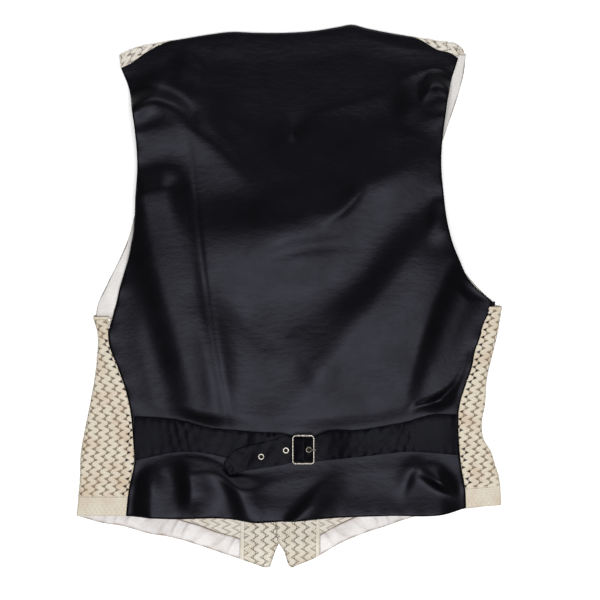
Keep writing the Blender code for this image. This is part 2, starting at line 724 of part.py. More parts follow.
# Half belt, its height taken from the back under it
back_tree = BVHTree.FromPolygons(
    [tuple(p) for p in back_grid.reshape(-1, 3)],
    halves(grid_faces(*back_grid.shape[:2]), back_grid.reshape(-1, 3)),
)
CLEAR = BACK_T / 2 + GAP + BELT_T / 2 + 0.15
LEFT_TOP = (
    (-171.0, -132), (-145, -133.6), (-118.8, -136.8), (-86.9, -145.2), (-60, -147.4),
    (-31.9, -149.6), (0, -151.8), (8, -154.4), (19, -154.4),
)
LEFT_BOTTOM = (
    (-171.0, -181.5), (-145, -175.5), (-125.4, -171.6), (-92.4, -172.4), (-64.9, -178.4),
    (-31.9, -180.6), (0, -181.2), (8, -181.2), (19, -181.2),
)
RIGHT_TOP = (
    (-66, -170.5), (-47.3, -163.9), (-19.8, -157.3), (-4.4, -152.8), (4, -154.6),
    (28, -154.4), (36, -150.6), (78.1, -147.4), (111.1, -141.9), (134.2, -137),
    (149.6, -132), (186.5, -129.8),
)
RIGHT_BOTTOM = (
    (-66, -196), (-51.9, -192.9), (-25, -188), (-2.5, -184), (4, -181.4),
    (28, -181.0), (36, -180.2), (61.6, -178.2), (94.6, -174.9), (134.2, -171),
    (160, -172.6), (186.5, -174.9),
)

# Band of cloth under the buckle: x, y
UNDER_BUCKLE_LOW = ((-60, -187), (60, -187))
UNDER_BUCKLE_HIGH = ((-60, -153), (60, -153))
near_x = np.linspace(-60, 60, 25)
back_top = float(resting(back_tree, near_x, UNDER_BUCKLE_LOW, UNDER_BUCKLE_HIGH, 0).max()) + BACK_T / 2
RETURN_Z = back_top + GAP + 0.1 + BELT_T / 2
BAR_Z = RETURN_Z + 2.5
FRAME_Z = BAR_Z + 2.8
LOOP_R = WIRE_R + GAP + BELT_T / 2
LOOP_WIDTH_X = 18.9


def belt_left():
    xs = np.concatenate((np.linspace(-170.0, -36, 15), (-28, -20, -12, -4, 4.3, 10)))
    rest = resting(back_tree, xs, LEFT_BOTTOM, LEFT_TOP, CLEAR)
    rest = np.convolve(np.pad(rest, 1, mode="edge"), (0.25, 0.5, 0.25), mode="valid")
    near = np.interp(xs, (-36, -12, 6, BUCKLE_X), (RETURN_Z, BAR_Z - 1.0, BAR_Z - 1.0, BAR_Z + LOOP_R))
    zs = np.where(xs < -36, rest, np.maximum(rest, near))
    path = [(x, z, x) for x, z in zip(xs, zs)]
    for a in np.linspace(90, -90, 7):
        turn = math.radians(a)
        path.append((BUCKLE_X + LOOP_R * math.cos(turn), BAR_Z + LOOP_R * math.sin(turn), LOOP_WIDTH_X))
    for x, drop in ((9, 0.2), (2, 0.4), (-6, 0.4)):
        path.append((x, BAR_Z - LOOP_R - drop, x))
    across = (0, 0.435, 0.565, 1)
    rows = []
    for x, z, at in path:
        yt = float(smooth(LEFT_TOP, at))
        yb = float(smooth(LEFT_BOTTOM, at))
        rows.append([(x, yb + (yt - yb) * t, z) for t in across])
    grid = np.array(rows)
    first = len(xs) - 1
    slot = {(j, 1) for j in range(first - 1, first + 8)}
    add_sheet("belt_left", grid, BELT_T, belt_satin, grid_faces(len(path), len(across), slot))
    return xs, zs


left_xs, left_zs = belt_left()


def belt_right():
    over_bar = (-3, 1.5, 4.3, 7, 10, 13, 15.7, 18.5, 21.6, 24.5, 27.2, 31, 36, 42)
    xs = np.concatenate((np.linspace(-62, -8, 10), over_bar, np.linspace(50, 186, 14)))
    rest = resting(back_tree, xs, RIGHT_BOTTOM, RIGHT_TOP, CLEAR)
    rest = np.convolve(np.pad(rest, 1, mode="edge"), (0.25, 0.5, 0.25), mode="valid")
    over = np.interp(xs, left_xs, left_zs) + BELT_T + GAP
    tongue = np.maximum(over + 0.95, rest + 0.3)
    near = np.interp(
        xs,
        (4.3, 10, 15.7, 21.6, 27.2, 31, 50),
        (BAR_Z + 0.65, BAR_Z + 2.6, BAR_Z + 4.0, BAR_Z + 2.3, BAR_Z + 0.65, BAR_Z + 0.6, BAR_Z - 1.4),
    )
    zs = np.where(xs > 50, rest, np.where(xs > 2, near, tongue))
    blend = step(42, 70, xs)
    zs = np.where(xs > 42, near * (1 - blend) + rest * blend, zs)
    zs = np.where(xs > 42, np.maximum(zs, rest), zs)
    across = (0, 0.25, 0.5, 0.75, 1)
    rows = []
    for x, z in zip(xs, zs):
        yt = float(smooth(RIGHT_TOP, x))
        yb = float(smooth(RIGHT_BOTTOM, x))
        line = []
        for t in across:
            lean = np.interp(x, (-62, -10, 4), (-0.22, -0.22, 0))
            y = yb + (yt - yb) * t
            px = x
            if x < 0:
                middle = (yb + yt) / 2
                point = (1 - abs(2 * t - 1)) * 9.5 * (1 - step(-62, -44, x))
                px = x + lean * (y - middle) * -1 - point
            line.append((px, y, np.interp(px, xs, zs)))
        rows.append(line)
    grid = np.array(rows)
    return add_sheet("belt_right", grid, BELT_T, belt_satin), grid


right_belt, right_belt_grid = belt_right()
right_tree = BVHTree.FromPolygons(
    [tuple(p) for p in right_belt_grid.reshape(-1, 3)],
    halves(grid_faces(*right_belt_grid.shape[:2])),
)

# Eyelets, each in its own hole through the tongue
for number, (x, y) in enumerate(zip(EYELET_X, EYELET_Y), 1):
    z = surface_z(right_tree, x, y)
    tilt = -math.atan2(surface_z(right_tree, x + 2, y) - surface_z(right_tree, x - 2, y), 4)
    bore = EYELET_HOLE_R + 0.4
    bpy.ops.mesh.primitive_cylinder_add(
        vertices=20, radius=(bore + GAP) * MM, depth=8 * MM,
        location=(x * MM, y * MM, z * MM), rotation=(0, tilt, 0),
    )
    cutter = bpy.context.object
    cutter.name = "eyelet_cutter_" + str(number)
    cutter.display_type = "WIRE"
    cutter.hide_render = True
    cut = right_belt.modifiers.new("hole_" + str(number), "BOOLEAN")
    cut.operation = "DIFFERENCE"
    cut.solver = "EXACT"
    cut.object = cutter
    inner = BELT_T / 2 + GAP
    outer = inner + 0.4
    profile = (
        (EYELET_HOLE_R, -outer), (EYELET_R - 0.2, -outer), (EYELET_R, -inner),
        (bore, -inner), (bore, inner), (EYELET_R, inner),
        (EYELET_R - 0.2, outer), (EYELET_HOLE_R, outer),
    )
    ring_solid("eyelet_" + str(number), profile, (x, y, z), tilt, metal)


def build_buckle():
    """Wire frame with a centre bar set below it."""
    half_w = BUCKLE_W / 2 - WIRE_R
    half_h = BUCKLE_H / 2 - WIRE_R
    corner = BUCKLE_CORNER - WIRE_R
    path = []
    for cx, cy, start in ((1, 1, 0), (-1, 1, 90), (-1, -1, 180), (1, -1, 270)):
        for a in np.linspace(start, start + 90, 4):
            px = cx * (half_w - corner) + corner * math.cos(math.radians(a))
            py = cy * (half_h - corner) + corner * math.sin(math.radians(a))
            path.append((BUCKLE_X + px, BUCKLE_Y + py, FRAME_Z))
    frame = add_tube("buckle_frame", path, WIRE_R, metal, closed=True, sides=10, flat=Vector((0, 0, 1)))
    bar_path = (
        (BUCKLE_X, BUCKLE_Y - half_h, FRAME_Z),
        (BUCKLE_X, BUCKLE_Y - half_h + 0.4, BAR_Z + 0.8),
        (BUCKLE_X, BUCKLE_Y - half_h + 1.4, BAR_Z),
        (BUCKLE_X, BUCKLE_Y + half_h - 1.4, BAR_Z),
        (BUCKLE_X, BUCKLE_Y + half_h - 0.4, BAR_Z + 0.8),
        (BUCKLE_X, BUCKLE_Y + half_h, FRAME_Z),
    )
    bar = add_tube("bar_cutter", bar_path, WIRE_R * 0.96, metal, sides=10, flat=Vector((1, 0, 0)))
    bar.display_type = "WIRE"
    bar.hide_render = True
    join = frame.modifiers.new("bar", "BOOLEAN")
    join.operation = "UNION"
    join.solver = "EXACT"
    join.object = bar


build_buckle()

# Prong, hooked round the centre bar, through the third eyelet and onto the frame
prong_path = []
hook_r = WIRE_R + 0.15 + PRONG_R
for a in np.linspace(70, 300, 12):
    turn = math.radians(a)
    prong_path.append((BUCKLE_X + hook_r * math.cos(turn), BUCKLE_Y, BAR_Z + hook_r * math.sin(turn)))
eye_z = surface_z(right_tree, EYELET_X[2], EYELET_Y[2])
over_z = FRAME_Z + WIRE_R + 0.2 + PRONG_R
prong_path.append((EYELET_X[2] - 2.4, BUCKLE_Y, eye_z - 2.0))
prong_path.append((EYELET_X[2], BUCKLE_Y, eye_z))
prong_path.append((EYELET_X[2] + 2.4, BUCKLE_Y, eye_z + 2.0))
prong_path.append((25.4, BUCKLE_Y, over_z))
prong_path.append((27.2, BUCKLE_Y, over_z + 0.1))
prong_path.append((29.6, BUCKLE_Y, over_z))
add_tube("buckle_prong", prong_path, PRONG_R, metal, sides=10, flat=Vector((0, 1, 0)))

for number, y in enumerate(BUTTON_Y, 1):
    add_button(number, y)
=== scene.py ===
import math

import bmesh
import bpy
import numpy as np
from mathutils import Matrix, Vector


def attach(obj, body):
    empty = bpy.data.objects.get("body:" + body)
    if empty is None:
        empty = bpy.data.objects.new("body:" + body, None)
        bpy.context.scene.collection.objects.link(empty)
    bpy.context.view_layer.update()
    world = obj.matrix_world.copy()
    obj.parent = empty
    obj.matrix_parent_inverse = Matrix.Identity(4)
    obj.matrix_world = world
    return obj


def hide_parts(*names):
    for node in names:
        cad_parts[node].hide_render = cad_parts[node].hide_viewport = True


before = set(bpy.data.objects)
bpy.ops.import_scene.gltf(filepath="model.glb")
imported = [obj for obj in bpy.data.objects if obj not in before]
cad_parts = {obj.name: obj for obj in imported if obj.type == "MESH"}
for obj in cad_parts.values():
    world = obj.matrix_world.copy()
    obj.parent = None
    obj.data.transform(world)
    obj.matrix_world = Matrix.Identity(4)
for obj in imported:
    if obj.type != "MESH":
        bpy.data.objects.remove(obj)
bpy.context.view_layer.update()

# Sizes in millimetres, made metres when a mesh is written
MM = 0.001
LACE_T = 1.4
FOLD_R = 2.2
FLOOR_Z = LACE_T / 2
TOP_Z = FLOOR_Z + 2 * FOLD_R
HALF_TURN = math.pi * FOLD_R
QUARTER = HALF_TURN / 2
FACING_STEP = 1.5
SEAM = 0.18
TURN_GAP = 0.3
TURN_GAP_Q = 5.5
TURN_GAP_W = 3.5

# Centre line: x at a height on the garment, and its lean
CENTRE_X = -6
CENTRE_Y = -271
CENTRE_LEAN = 0.0165

# Front closure, wearer's left front outermost
LAP = {"left": 9.3, "right": 9.0}
FACING_X = {"left": 47.6, "right": 39.6}
SIGN = {"left": -1, "right": 1}
CUT_TOP_Y = -250.0
V_Y = 67.0
BUTTON_RISE = 2.3
LAP_RISE = 3.15
NECK_BOW = 0.06
# How the rise over the buttons and the lap falls away from the centre: distance, share
BUTTON_FALL = {
    "left": ((9.5, 1), (16, 0.75), (24, 0.3), (32, 0)),
    "right": ((9.8, 1), (16, 0.7), (24, 0.22), (32, 0)),
}
LAP_FALL = ((9.8, 1), (16, 0.76), (24, 0.34), (32, 0.08), (39.6, 0))

# White facings and the lace's hem band
HEM_FACING_W = 22.0
ARM_FACING_W = 19.0
BAND_W = 22.0
BAND_RIB = 2.75
BAND_TURN = 7.5
BAND_SWING = 2.4
BAND_PERIOD = 5.4

# Back panel
BACK_BASE = 3.9
RIDGE_W = 96
RIDGE_GAP = 0.15
REST_DEPTH = 0.3
REST_SOFT = 2
BELT_HOLD = 0.14
BELT_EASE = 20
SEAM_HOLD = (4, 30)
TOP_HOLD = (3, 32)
UNDERARM_Y = {"left": (-36, -6), "right": (-2, 26)}
TURN_LENGTH = 40
# Unevenness of the loose satin: wave length, direction in degrees
SLACK_WAVES = ((64, 20), (51, 75), (43, -40), (35, 130), (29, 5), (23, 60))
SLACK_SHARE = 0.0008
SLACK_SHIFT = 1.7

# Buckle
BUCKLE_X = 15.7
BUCKLE_Y = -167.8
BUCKLE_W = 25.3
BUCKLE_H = 33.0
BUCKLE_CORNER = 4.4
WIRE_R = 1.2
BAR_R = WIRE_R * 0.94
BAR_SINK = WIRE_R * 0.96

# Lace: tapes side by side, each running in a zigzag
TAPE_PITCH = 11.6
TURN_PERIOD = 8.2
TURN_SWING = 4.6
TAPE_GAP = 0.3
STRANDS = 3
DOME_SHARE = 0.62
FLOOR_TAPES = 22
FLOOR_FIRST = -6.0
WRAP_TAPES = 12
WRAP_FIRST = 262
FACING_TAPES = 6
FACING_TURNS = 8
FACING_FIRST = 0.62
FACING_PITCH = 10.8
FACING_PERIOD = 9.5
FACING_SWING = 4.2
PRESSED_W = 3.6
STRIP_LINE = 2.5
STRIP_TICK = 1.9
BLUNT = 0.2
TURN_MARKS = (0.0, 0.2, 0.3, 0.5, 0.7, 0.8)
FINE_MARKS = (0.0, 0.1, 0.2, 0.3, 0.4, 0.5, 0.6, 0.7, 0.8, 0.9)

# Side fold seen from above: y, x
SIDE_FOLD = {
    "left": (
        (-242, -234.3), (-211, -231), (-171.6, -228.8), (-145, -224.4), (-118.8, -218.9),
        (-92.4, -214.5), (-66, -211.2), (-39.6, -211.2), (-24.2, -215.6),
    ),
    "right": (
        (-229.9, 234.3), (-198, 231), (-184.8, 226.6), (-171.6, 222.2), (-158.4, 214.5), (-145, 212.3),
        (-118.8, 215.6), (-92.4, 217.8), (-66, 223.3), (-39.6, 229.9), (-13.2, 234.3),
    ),
}
# Side seam on the back: y, x
SIDE_SEAM = {
    "left": (
        (-242, -179.3), (-211, -176), (-184.8, -170.5), (-158.4, -171.6), (-132, -173.8),
        (-105.6, -179.3), (-79.2, -188.1), (-52.8, -198), (-39.6, -199.1),
    ),
    "right": (
        (-233.2, 194.7), (-211, 193.6), (-184.8, 189.2), (-158.4, 187), (-132, 185.9),
        (-105.6, 191.4), (-79.2, 200.2), (-52.8, 206.8), (-26.4, 215.6), (-2.2, 224.4),
    ),
}
# Armhole of the back: y, x
BACK_ARM = {
    "left": (
        (-39.6, -199.1), (-13.2, -191.4), (13.2, -184.8), (39.6, -176), (66, -170.5),
        (105.6, -167.2), (145, -166.1), (184.8, -169.4), (224.4, -176), (250.8, -184.8),
    ),
    "right": (
        (-2.2, 224.4), (13.2, 205.7), (26.4, 194.7), (52.8, 180.4), (79.2, 172.7),
        (105.6, 169.4), (145, 166.1), (184.8, 169.4), (224.4, 176), (260.7, 185.9),
    ),
}
# Armhole of the front on the floor: y, x
FRONT_ARM = {
    "left": (
        (-24.2, -212.7), (-13.2, -211.5), (13.2, -200.2), (39.6, -187), (66, -176),
        (92.4, -169.4), (150, -160), (210, -168), (263, -187),
    ),
    "right": (
        (-13.2, 231.4), (5, 212), (35, 187), (70, 169), (120, 160),
        (150, 162.5), (184.8, 173.8), (224.4, 187), (246.4, 192.5), (266, 194.7),
    ),
}
# Shoulder folds and neck edge, the outline at the top: x, y
TOP_LINE = (
    (-188, 265.5), (-168.3, 273.9), (-141.9, 279.4), (-115.5, 283.8), (-89.1, 288.2), (-62.7, 291.3),
    (-40, 290.4), (0, 290.4), (29.7, 292.6), (56.1, 297), (69.3, 299.2), (82.5, 295.9),
    (108.9, 290.4), (135.3, 286), (161.7, 281.6), (188.1, 275), (195, 268.4),
)
# Shoulder seam: x, path from the floor side of the fold
SHOULDER_SEAM = {
    "left": (
        (-184.8, 20.2), (-171.6, 19.2), (-158.4, 13.3), (-145.2, 8.0), (-126.5, 3.5), (-95, -1), (-62.7, -4),
    ),
    "right": (
        (69.3, -4), (100, -1), (134, 3.5), (148.5, 8.4), (161.7, 13.9), (174.9, 16.1), (185.9, 18.9),
    ),
}
NECK_X = {"left": -62.7, "right": 69.3}
TIP_X = {"left": -184.8, "right": 185.9}
FOLD_TIP_X = {"left": -187.0, "right": 193.6}
# Hems: x, y
FRONT_HEM = {
    "left": (
        (-234.3, -242), (-207.9, -249.7), (-181.5, -254.1), (-155.1, -261.8), (-128.7, -266.2),
        (-102.3, -273.9), (-75.9, -282.7), (-49.5, -291.5), (-27.5, -299.2),
    ),
    "right": (
        (3.3, -299.2), (29.7, -288.2), (56.1, -272.8), (82.5, -261.8), (108.9, -253),
        (135.3, -244.2), (185, -236), (234.3, -229.9),
    ),
}
BACK_HEM = (
    (-179.3, -242), (-128.7, -244.2), (-62.7, -244.2), (-36.3, -247.5), (-9.9, -246.4),
    (42.9, -243.1), (108.9, -240.9), (174.9, -238.7), (194.7, -233.2),
)
# Cutaway from the tip of each front: y, x
CUTAWAY = {
    "left": (
        (-299.2, -25.5), (-298.4, -22.4), (-296.2, -20.6), (-292.5, -19.2), (-281.6, -15.4),
        (-271.7, -11), (-250, 3.65),
    ),
    "right": (
        (-299.2, 4.4), (-298.3, 1.5), (-296, -0.2), (-292.5, -1.7), (-280.5, -5.5),
        (-271.7, -11), (-250, -14.65),
    ),
}
# How far each wrap's tapes lean as they go up: y, x shift
WRAP_LEAN = {
    "left": ((-260, -29), (-219, -18), (-170, -3), (-147, 0), (-120, -9), (-48, -40), (0, -61)),
    "right": ((-260, -18), (-200, 0), (-140, 14), (-60, 36), (0, 54)),
}
# Folds of the back: name, start x, start y, end x, end y, bow to the right, left width, right width, height
FOLDS = (
    ("blade", -113, 68, 187, 184, 38, 36, 49, 11.0),
    ("armhole_left", -202, 158, -46, 124, -40, 15, 22, 5.0),
    ("armhole_left_top", -189, 183, -107, 199, -20, 15, 20, 11.0),
    ("armhole_left_low", -177, 107, -118, 118, 1, 18, 47, 11.0),
    ("armhole_right", 174, 236, 162, 181, -1, 50, 40, 7.7),
    ("armhole_right_low", 190, 71, 160, 98, -11, 16, 18, 4.3),
    ("side_left", -158, 85, -97, -143, -4, 59, 27, 11.0),
    ("crease_left", -106, 135, -64, -159, 4, 4, 7, -1.7),
    ("inner_left", -89, -20, -77, -136, -4, 19, 18, 4.9),
    ("edge_left", -172, -25, -111, -215, 7, 15, 34, 2.8),
    ("waist_right", 187, 109, 20, -113, 0, 69, 29, 11.0),
    ("cup_right", 66, 58, -22, 44, 3, 11, 10, -2.4),
    ("side_right", 202, 86, 125, -118, 10, 15, 70, 6.2),
    ("edge_right", 149, -8, 189, -140, 5, 43, 19, 1.4),
    ("band_ridge_right", 142, -122, 197, -63, 15, 4, 56, 11.0),
    ("centre_low", 95, -3, -31, -76, 5, 24, 18, 2.0),
    ("skirt_left", -109, -179, -105, -233, -2, 29, 14, 10.3),
    ("skirt_mid_left", -117, -137, -38, -249, -11, 21, 13, 8.7),
    ("skirt_mid_right", 45, -207, -19, -278, 2, 17, 8, 6.6),
    ("skirt_right", 147, -168, 123, -218, 2, 7, 11, 3.2),
    ("skirt_edge_left", -195, -217, -160, -183, -1, 12, 37, 11.0),
    ("skirt_edge_right", 220, -230, 149, -195, -1, 6, 12, 10.5),
    ("neck_left", -123, 272, -82, 260, 6, 7, 40, 5.0),
    ("neck_mid", -39, 243, 65, 243, -11, 29, 22, -8.0),
    ("neck_right", 56, 302, 167, 282, 7, 12, 14, 8.1),
    ("neck_hollow", -105, 268, -20, 258, 7, 6, 14, -8.0),
    ("v_left", -52, 220, 4, 177, -27, 42, 6, -5.5),
    ("v_right", 107, 306, -88, 133, 6, 61, 46, -7.2),
    ("shoulder_left", -178, 193, -131, 257, 5, 18, 10, 2.5),
    ("shoulder_right", 177, 220, 147, 220, 13, 10, 15, 4.9),
    ("cheek_right", 173, 230, 124, 202, 5, 13, 23, 4.1),
    ("blade_small", 82, 122, 42, 82, -4, 6, 10, 2.5),
    ("mid_crease", -62, -6, 24, -60, 10, 56, 15, -2.4),
    ("mid_crease_low", -4, -41, 39, -111, -8, 24, 15, 2.6),
)
# Loft of the back over what lies under it: y, height
LOFT = (
    (-285, 2.2), (-250, 9.0), (-215, 3.6), (-180, 0.6), (-150, 0.9), (-110, -1.5), (-60, -1.3),
    (-10, 0.9), (40, 2.3), (90, 2.4), (140, 8.1), (190, 7.1), (240, -1.2), (290, -0.1),
)
# Half belt's edges on the back: x, y
BELT_TOP = (
    (-171, -132), (-118.8, -136.8), (-86.9, -145.2), (-31.9, -149.6), (36, -150.6),
    (111.1, -141.9), (149.6, -132), (186.5, -129.8),
)
BELT_BOTTOM = (
    (-171, -181.5), (-125.4, -171.6), (-92.4, -174), (-51.9, -192.9), (-2.5, -184),
    (61.6, -178.2), (134.2, -171), (186.5, -174.9),
)

# Small waves of the cloth: height, spread across, spread along, start
ARM_GATHERS = {
    "left": ((1, math.inf, 3.9, 0), (0.7, math.inf, 7.3, 1)),
    "right": ((1, math.inf, 4.4, 0), (0.8, math.inf, 6.7, 2)),
}
HEM_GATHERS = ((1, 3.1, math.inf, 0), (0.8, 5.7, math.inf, 1))
TACK_GATHERS = {
    "left": ((1, 1.5, 6, 0), (0.8, 2.3, -3.1, 0)),
    "right": ((1, 1.7, -4, 0), (0.7, 2.6, 2.9, 0)),
}
STRAP_CRUMPLES = ((1, 3.4, 2.1, 0), (1, 5.3, -3.2, 1), (1, 2.3, -4.4, 2))
STRAP_GATHERS = ((1, 1.4, math.inf, 0), (0.7, 2.3, 5, 1))
# Lines of stitching across the straps
STRAP_STITCHES = (-118.2, -113.0, 133.6)

# Braid colours: strand, painted shade for the grooves (also the flecks' colour), blotch
CREAM = ((0.80, 0.735, 0.605), (0.34, 0.27, 0.18), (0.66, 0.50, 0.36))
HEM_CREAM = ((0.87, 0.815, 0.70), (0.40, 0.33, 0.23), (0.75, 0.63, 0.49))
INNER_CREAM = ((0.89, 0.84, 0.76), (0.42, 0.35, 0.27), (0.78, 0.70, 0.60))
FACING_CREAM = ((0.91, 0.865, 0.76), (0.28, 0.22, 0.155), (0.78, 0.68, 0.55))
# Painted shade: the tan net under the wrap stands in for the shaded inside of the lace
HOLE_SHADE = ((0.40, 0.31, 0.22), (0.26, 0.19, 0.13), (0.46, 0.30, 0.21))
# Satin colours, and the painted shade in the white satin's puckers
BLACK = (0.0028, 0.0025, 0.0033)
BELT_BLACK = (0.0030, 0.0030, 0.0044)
WHITE = (0.80, 0.775, 0.75)
HEM_WHITE = (0.775, 0.74, 0.73)
ARM_SHADE = (0.34, 0.25, 0.20)
HEM_SHADE = (0.30, 0.21, 0.17)
COOL_GLEAM = (0.79, 0.79, 1.0)
BELT_GLEAM = (0.84, 0.86, 1.0)
PLAIN_GLEAM = (1.0, 1.0, 1.0)
# Metal and resin: bright, worn
SILVER = ((0.33, 0.31, 0.27), (0.12, 0.10, 0.08))
EYELET_SILVER = ((0.27, 0.255, 0.225), (0.14, 0.12, 0.09))
RESIN = ((0.70, 0.62, 0.50), (0.55, 0.46, 0.34))
# Sizes of the patterns, as noise scales
BLOTCH_SCALE = 60
FLECK_SCALE = 900
TWIST_SCALE = 420
TWIST_ANGLE = math.radians(38)
GLOSS_SCALE = 30
THREAD_SCALE = 900
SLUB_SCALE = 170
WEAR_SCALE = 700
SCRATCH_SCALE = 2600
RESIN_SCALE = 120


def smooth(table, where):
    """Cubic curve through the two columns of a table."""
    keys = np.array([row[0] for row in table], float)
    vals = np.array([row[1] for row in table], float)
    slopes = np.gradient(vals, keys)
    at = np.clip(np.asarray(where, float), keys[0], keys[-1])
    k = np.clip(np.searchsorted(keys, at) - 1, 0, len(keys) - 2)
    span = keys[k + 1] - keys[k]
    t = (at - keys[k]) / span
    a = (1 + 2 * t) * (1 - t) ** 2 * vals[k] + t * (1 - t) ** 2 * span * slopes[k]
    b = t * t * (3 - 2 * t) * vals[k + 1] + t * t * (t - 1) * span * slopes[k + 1]
    return a + b


def step(low, high, x):
    t = np.clip((np.asarray(x, float) - low) / (high - low), 0, 1)
    return t * t * (3 - 2 * t)


def fade(low, high, x):
    return 1 - step(low, high, x)


def straight(table, where):
    """Straight runs through the two columns of a table."""
    return np.interp(where, [row[0] for row in table], [row[1] for row in table])


def between(low, high, share):
    return low + share * (high - low)


def swell(from_middle, width):
    """Rounded rise, full at its middle and gone at about twice its width."""
    return np.exp(-((from_middle / width) ** 2))


def ripples(rows, x, y):
    """Sum of small waves across and along the cloth."""
    total = 0.0
    for height, across, along, start in rows:
        total = total + height * np.sin(x / across + y / along + start)
    return total


def even_wave(place, length):
    """Wave from 0 to 1 that repeats at each length."""
    return 0.5 + 0.5 * np.cos(place / length * 2 * math.pi)


def centre_x(y):
    """Centre line, which leans a little as the garment lies."""
    return CENTRE_X + (np.asarray(y, float) - CENTRE_Y) * CENTRE_LEAN


def fold_y(x):
    return smooth(TOP_LINE, x) - FOLD_R - LACE_T / 2


def seam_gap(q):
    """Gap at the shoulder seam, wider where the cloth turns most sharply."""
    return SEAM + TURN_GAP * swell(q - TURN_GAP_Q, TURN_GAP_W)


def front_z(side, x, y):
    """Height of a front's middle on the floor, over the buttons and the lap."""
    buttons = BUTTON_RISE * step(-260, -226, y) * fade(49, 96, y)
    from_centre = x - centre_x(y)
    if side == "left":
        return FLOOR_Z + buttons * straight(BUTTON_FALL[side], np.abs(from_centre))
    lap = LAP_RISE * step(-292, -270, y) * fade(100, 134, y)
    over_lap = lap * straight(LAP_FALL, from_centre)
    return FLOOR_Z + over_lap + buttons * straight(BUTTON_FALL[side], from_centre)


def inner_edge_x(side, y):
    """Inner edge of a front: cutaway, closure, then up the neckline."""
    y = np.asarray(y, float)
    lap = -SIGN[side] * LAP[side]
    cut = smooth(CUTAWAY[side], y)
    edge = centre_x(y) + lap
    top = float(fold_y(NECK_X[side]))
    start = float(centre_x(V_Y) + lap)
    t = np.clip((y - V_Y) / (top - 4 - V_Y), 0, 1)
    neck = between(start, NECK_X[side], t + NECK_BOW * np.sin(math.pi * t))
    return np.where(y < CUT_TOP_Y, cut, np.where(y <= V_Y, edge, neck))


def fold_centre_x(side, y):
    return smooth(SIDE_FOLD[side], y) - SIGN[side] * (FOLD_R + LACE_T / 2)


def on_front(side, flat_x, t):
    """Point and outward direction of a front laid flat: t runs up the floor and over the shoulder."""
    sign = SIGN[side]
    q = t - fold_y(flat_x)
    turn = np.clip(q / FOLD_R, 0, math.pi)
    y = np.minimum(t, fold_y(flat_x)) + FOLD_R * np.sin(turn) - np.maximum(q - HALF_TURN, 0)
    past = np.where(t < SIDE_FOLD[side][-1][0] + 8, sign * (flat_x - fold_centre_x(side, t)), 0)
    bend = np.clip(past / FOLD_R, 0, math.pi)
    x = np.where(past > 0, flat_x - sign * (np.maximum(past, 0) - FOLD_R * np.sin(bend)), flat_x)
    x = np.where(past > HALF_TURN, x - sign * (past - HALF_TURN), x)
    z = front_z(side, flat_x, t) + FOLD_R * (1 - np.cos(turn)) + FOLD_R * (1 - np.cos(bend))
    out = np.stack((sign * np.sin(bend), np.sin(turn), -np.cos(turn) * np.cos(bend)), axis=-1)
    return np.stack((x, y, z), axis=-1), out


def on_wrap(side, flat_x, y):
    """Point and outward direction on the part of a front that lies on top, flat_x measured as if unrolled."""
    sign = SIGN[side]
    past = sign * (flat_x - fold_centre_x(side, y))
    bend = np.clip(past / FOLD_R, 0, math.pi / 2)
    x = np.where(past > 0, flat_x - sign * (past - FOLD_R * np.sin(bend)), flat_x)
    z = TOP_Z - FOLD_R * (1 - np.cos(bend))
    out = np.stack((sign * np.sin(bend), np.zeros_like(bend), np.cos(bend)), axis=-1)
    return np.stack((x, y, z), axis=-1), out


# Meshes
def flat_grid(across, up):
    """A grid of faces in the unit square, with each point's place across and up."""
    bm = bmesh.new()
    bmesh.ops.create_grid(bm, x_segments=across, y_segments=up, size=0.5)
    mesh = new_mesh("grid", bm)
    co = coordinates(mesh) + 0.5
    return mesh, np.clip(co[:, 0], 0, 1), np.clip(co[:, 1], 0, 1)


def coordinates(mesh):
    co = np.empty(len(mesh.vertices) * 3)
    mesh.vertices.foreach_get("co", co)
    return co.reshape(-1, 3)


def corners_of(mesh):
    loops = np.empty(len(mesh.loops), int)
    mesh.loops.foreach_get("vertex_index", loops)
    return loops


def place_points(mesh, points):
    mesh.vertices.foreach_set("co", (np.asarray(points) * MM).ravel())
    mesh.update()


def write_value(mesh, name, values):
    """A share from 0 to 1 at each point, read by the material."""
    layer = mesh.attributes.new(name, "FLOAT", "POINT")
    layer.data.foreach_set("value", np.clip(values, 0, 1).astype(np.float32))


def write_uv(mesh, across, along):
    """UV map in metres, so that thread patterns keep their size."""
    uv = mesh.uv_layers.new(name="cloth")
    pair = np.stack((across, along), axis=-1)[corners_of(mesh)] * MM
    uv.data.foreach_set("uv", pair.astype(np.float32).ravel())


def lay_points(mesh, x, y, z):
    """Puts a grid's points in place, with the cloth's map straight above them."""
    place_points(mesh, np.stack((x, y, z), axis=-1))
    write_uv(mesh, x, y)


def drop_faces(mesh, dropped):
    bm = bmesh.new()
    bm.from_mesh(mesh)
    bm.faces.ensure_lookup_table()
    doomed = [bm.faces[i] for i in np.flatnonzero(dropped)]
    bmesh.ops.delete(bm, geom=doomed, context="FACES")
    bm.to_mesh(mesh)
    bm.free()


def squeezed_faces(mesh, least):
    """Faces smaller than the least area, in square millimetres."""
    area = np.empty(len(mesh.polygons))
    mesh.polygons.foreach_get("area", area)
    return area < least * MM * MM


def new_mesh(name, bm):
    mesh = bpy.data.meshes.new(name)
    bm.to_mesh(mesh)
    bm.free()
    return mesh


def new_object(name, data):
    obj = bpy.data.objects.new(name, data)
    bpy.context.scene.collection.objects.link(obj)
    return obj


def add_piece(name, mesh, material, wall=0.0, replaced=()):
    """A finished piece on the body, with a wall of even thickness where it is cloth."""
    mesh.name = name
    mesh.materials.append(material)
    mesh.polygons.foreach_set("use_smooth", np.ones(len(mesh.polygons), bool))
    piece = new_object(name, mesh)
    if wall:
        thickness = piece.modifiers.new("thickness", "SOLIDIFY")
        thickness.thickness = wall * MM
        thickness.offset = 0.0
    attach(piece, "root")
    if replaced:
        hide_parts(*replaced)
    return piece


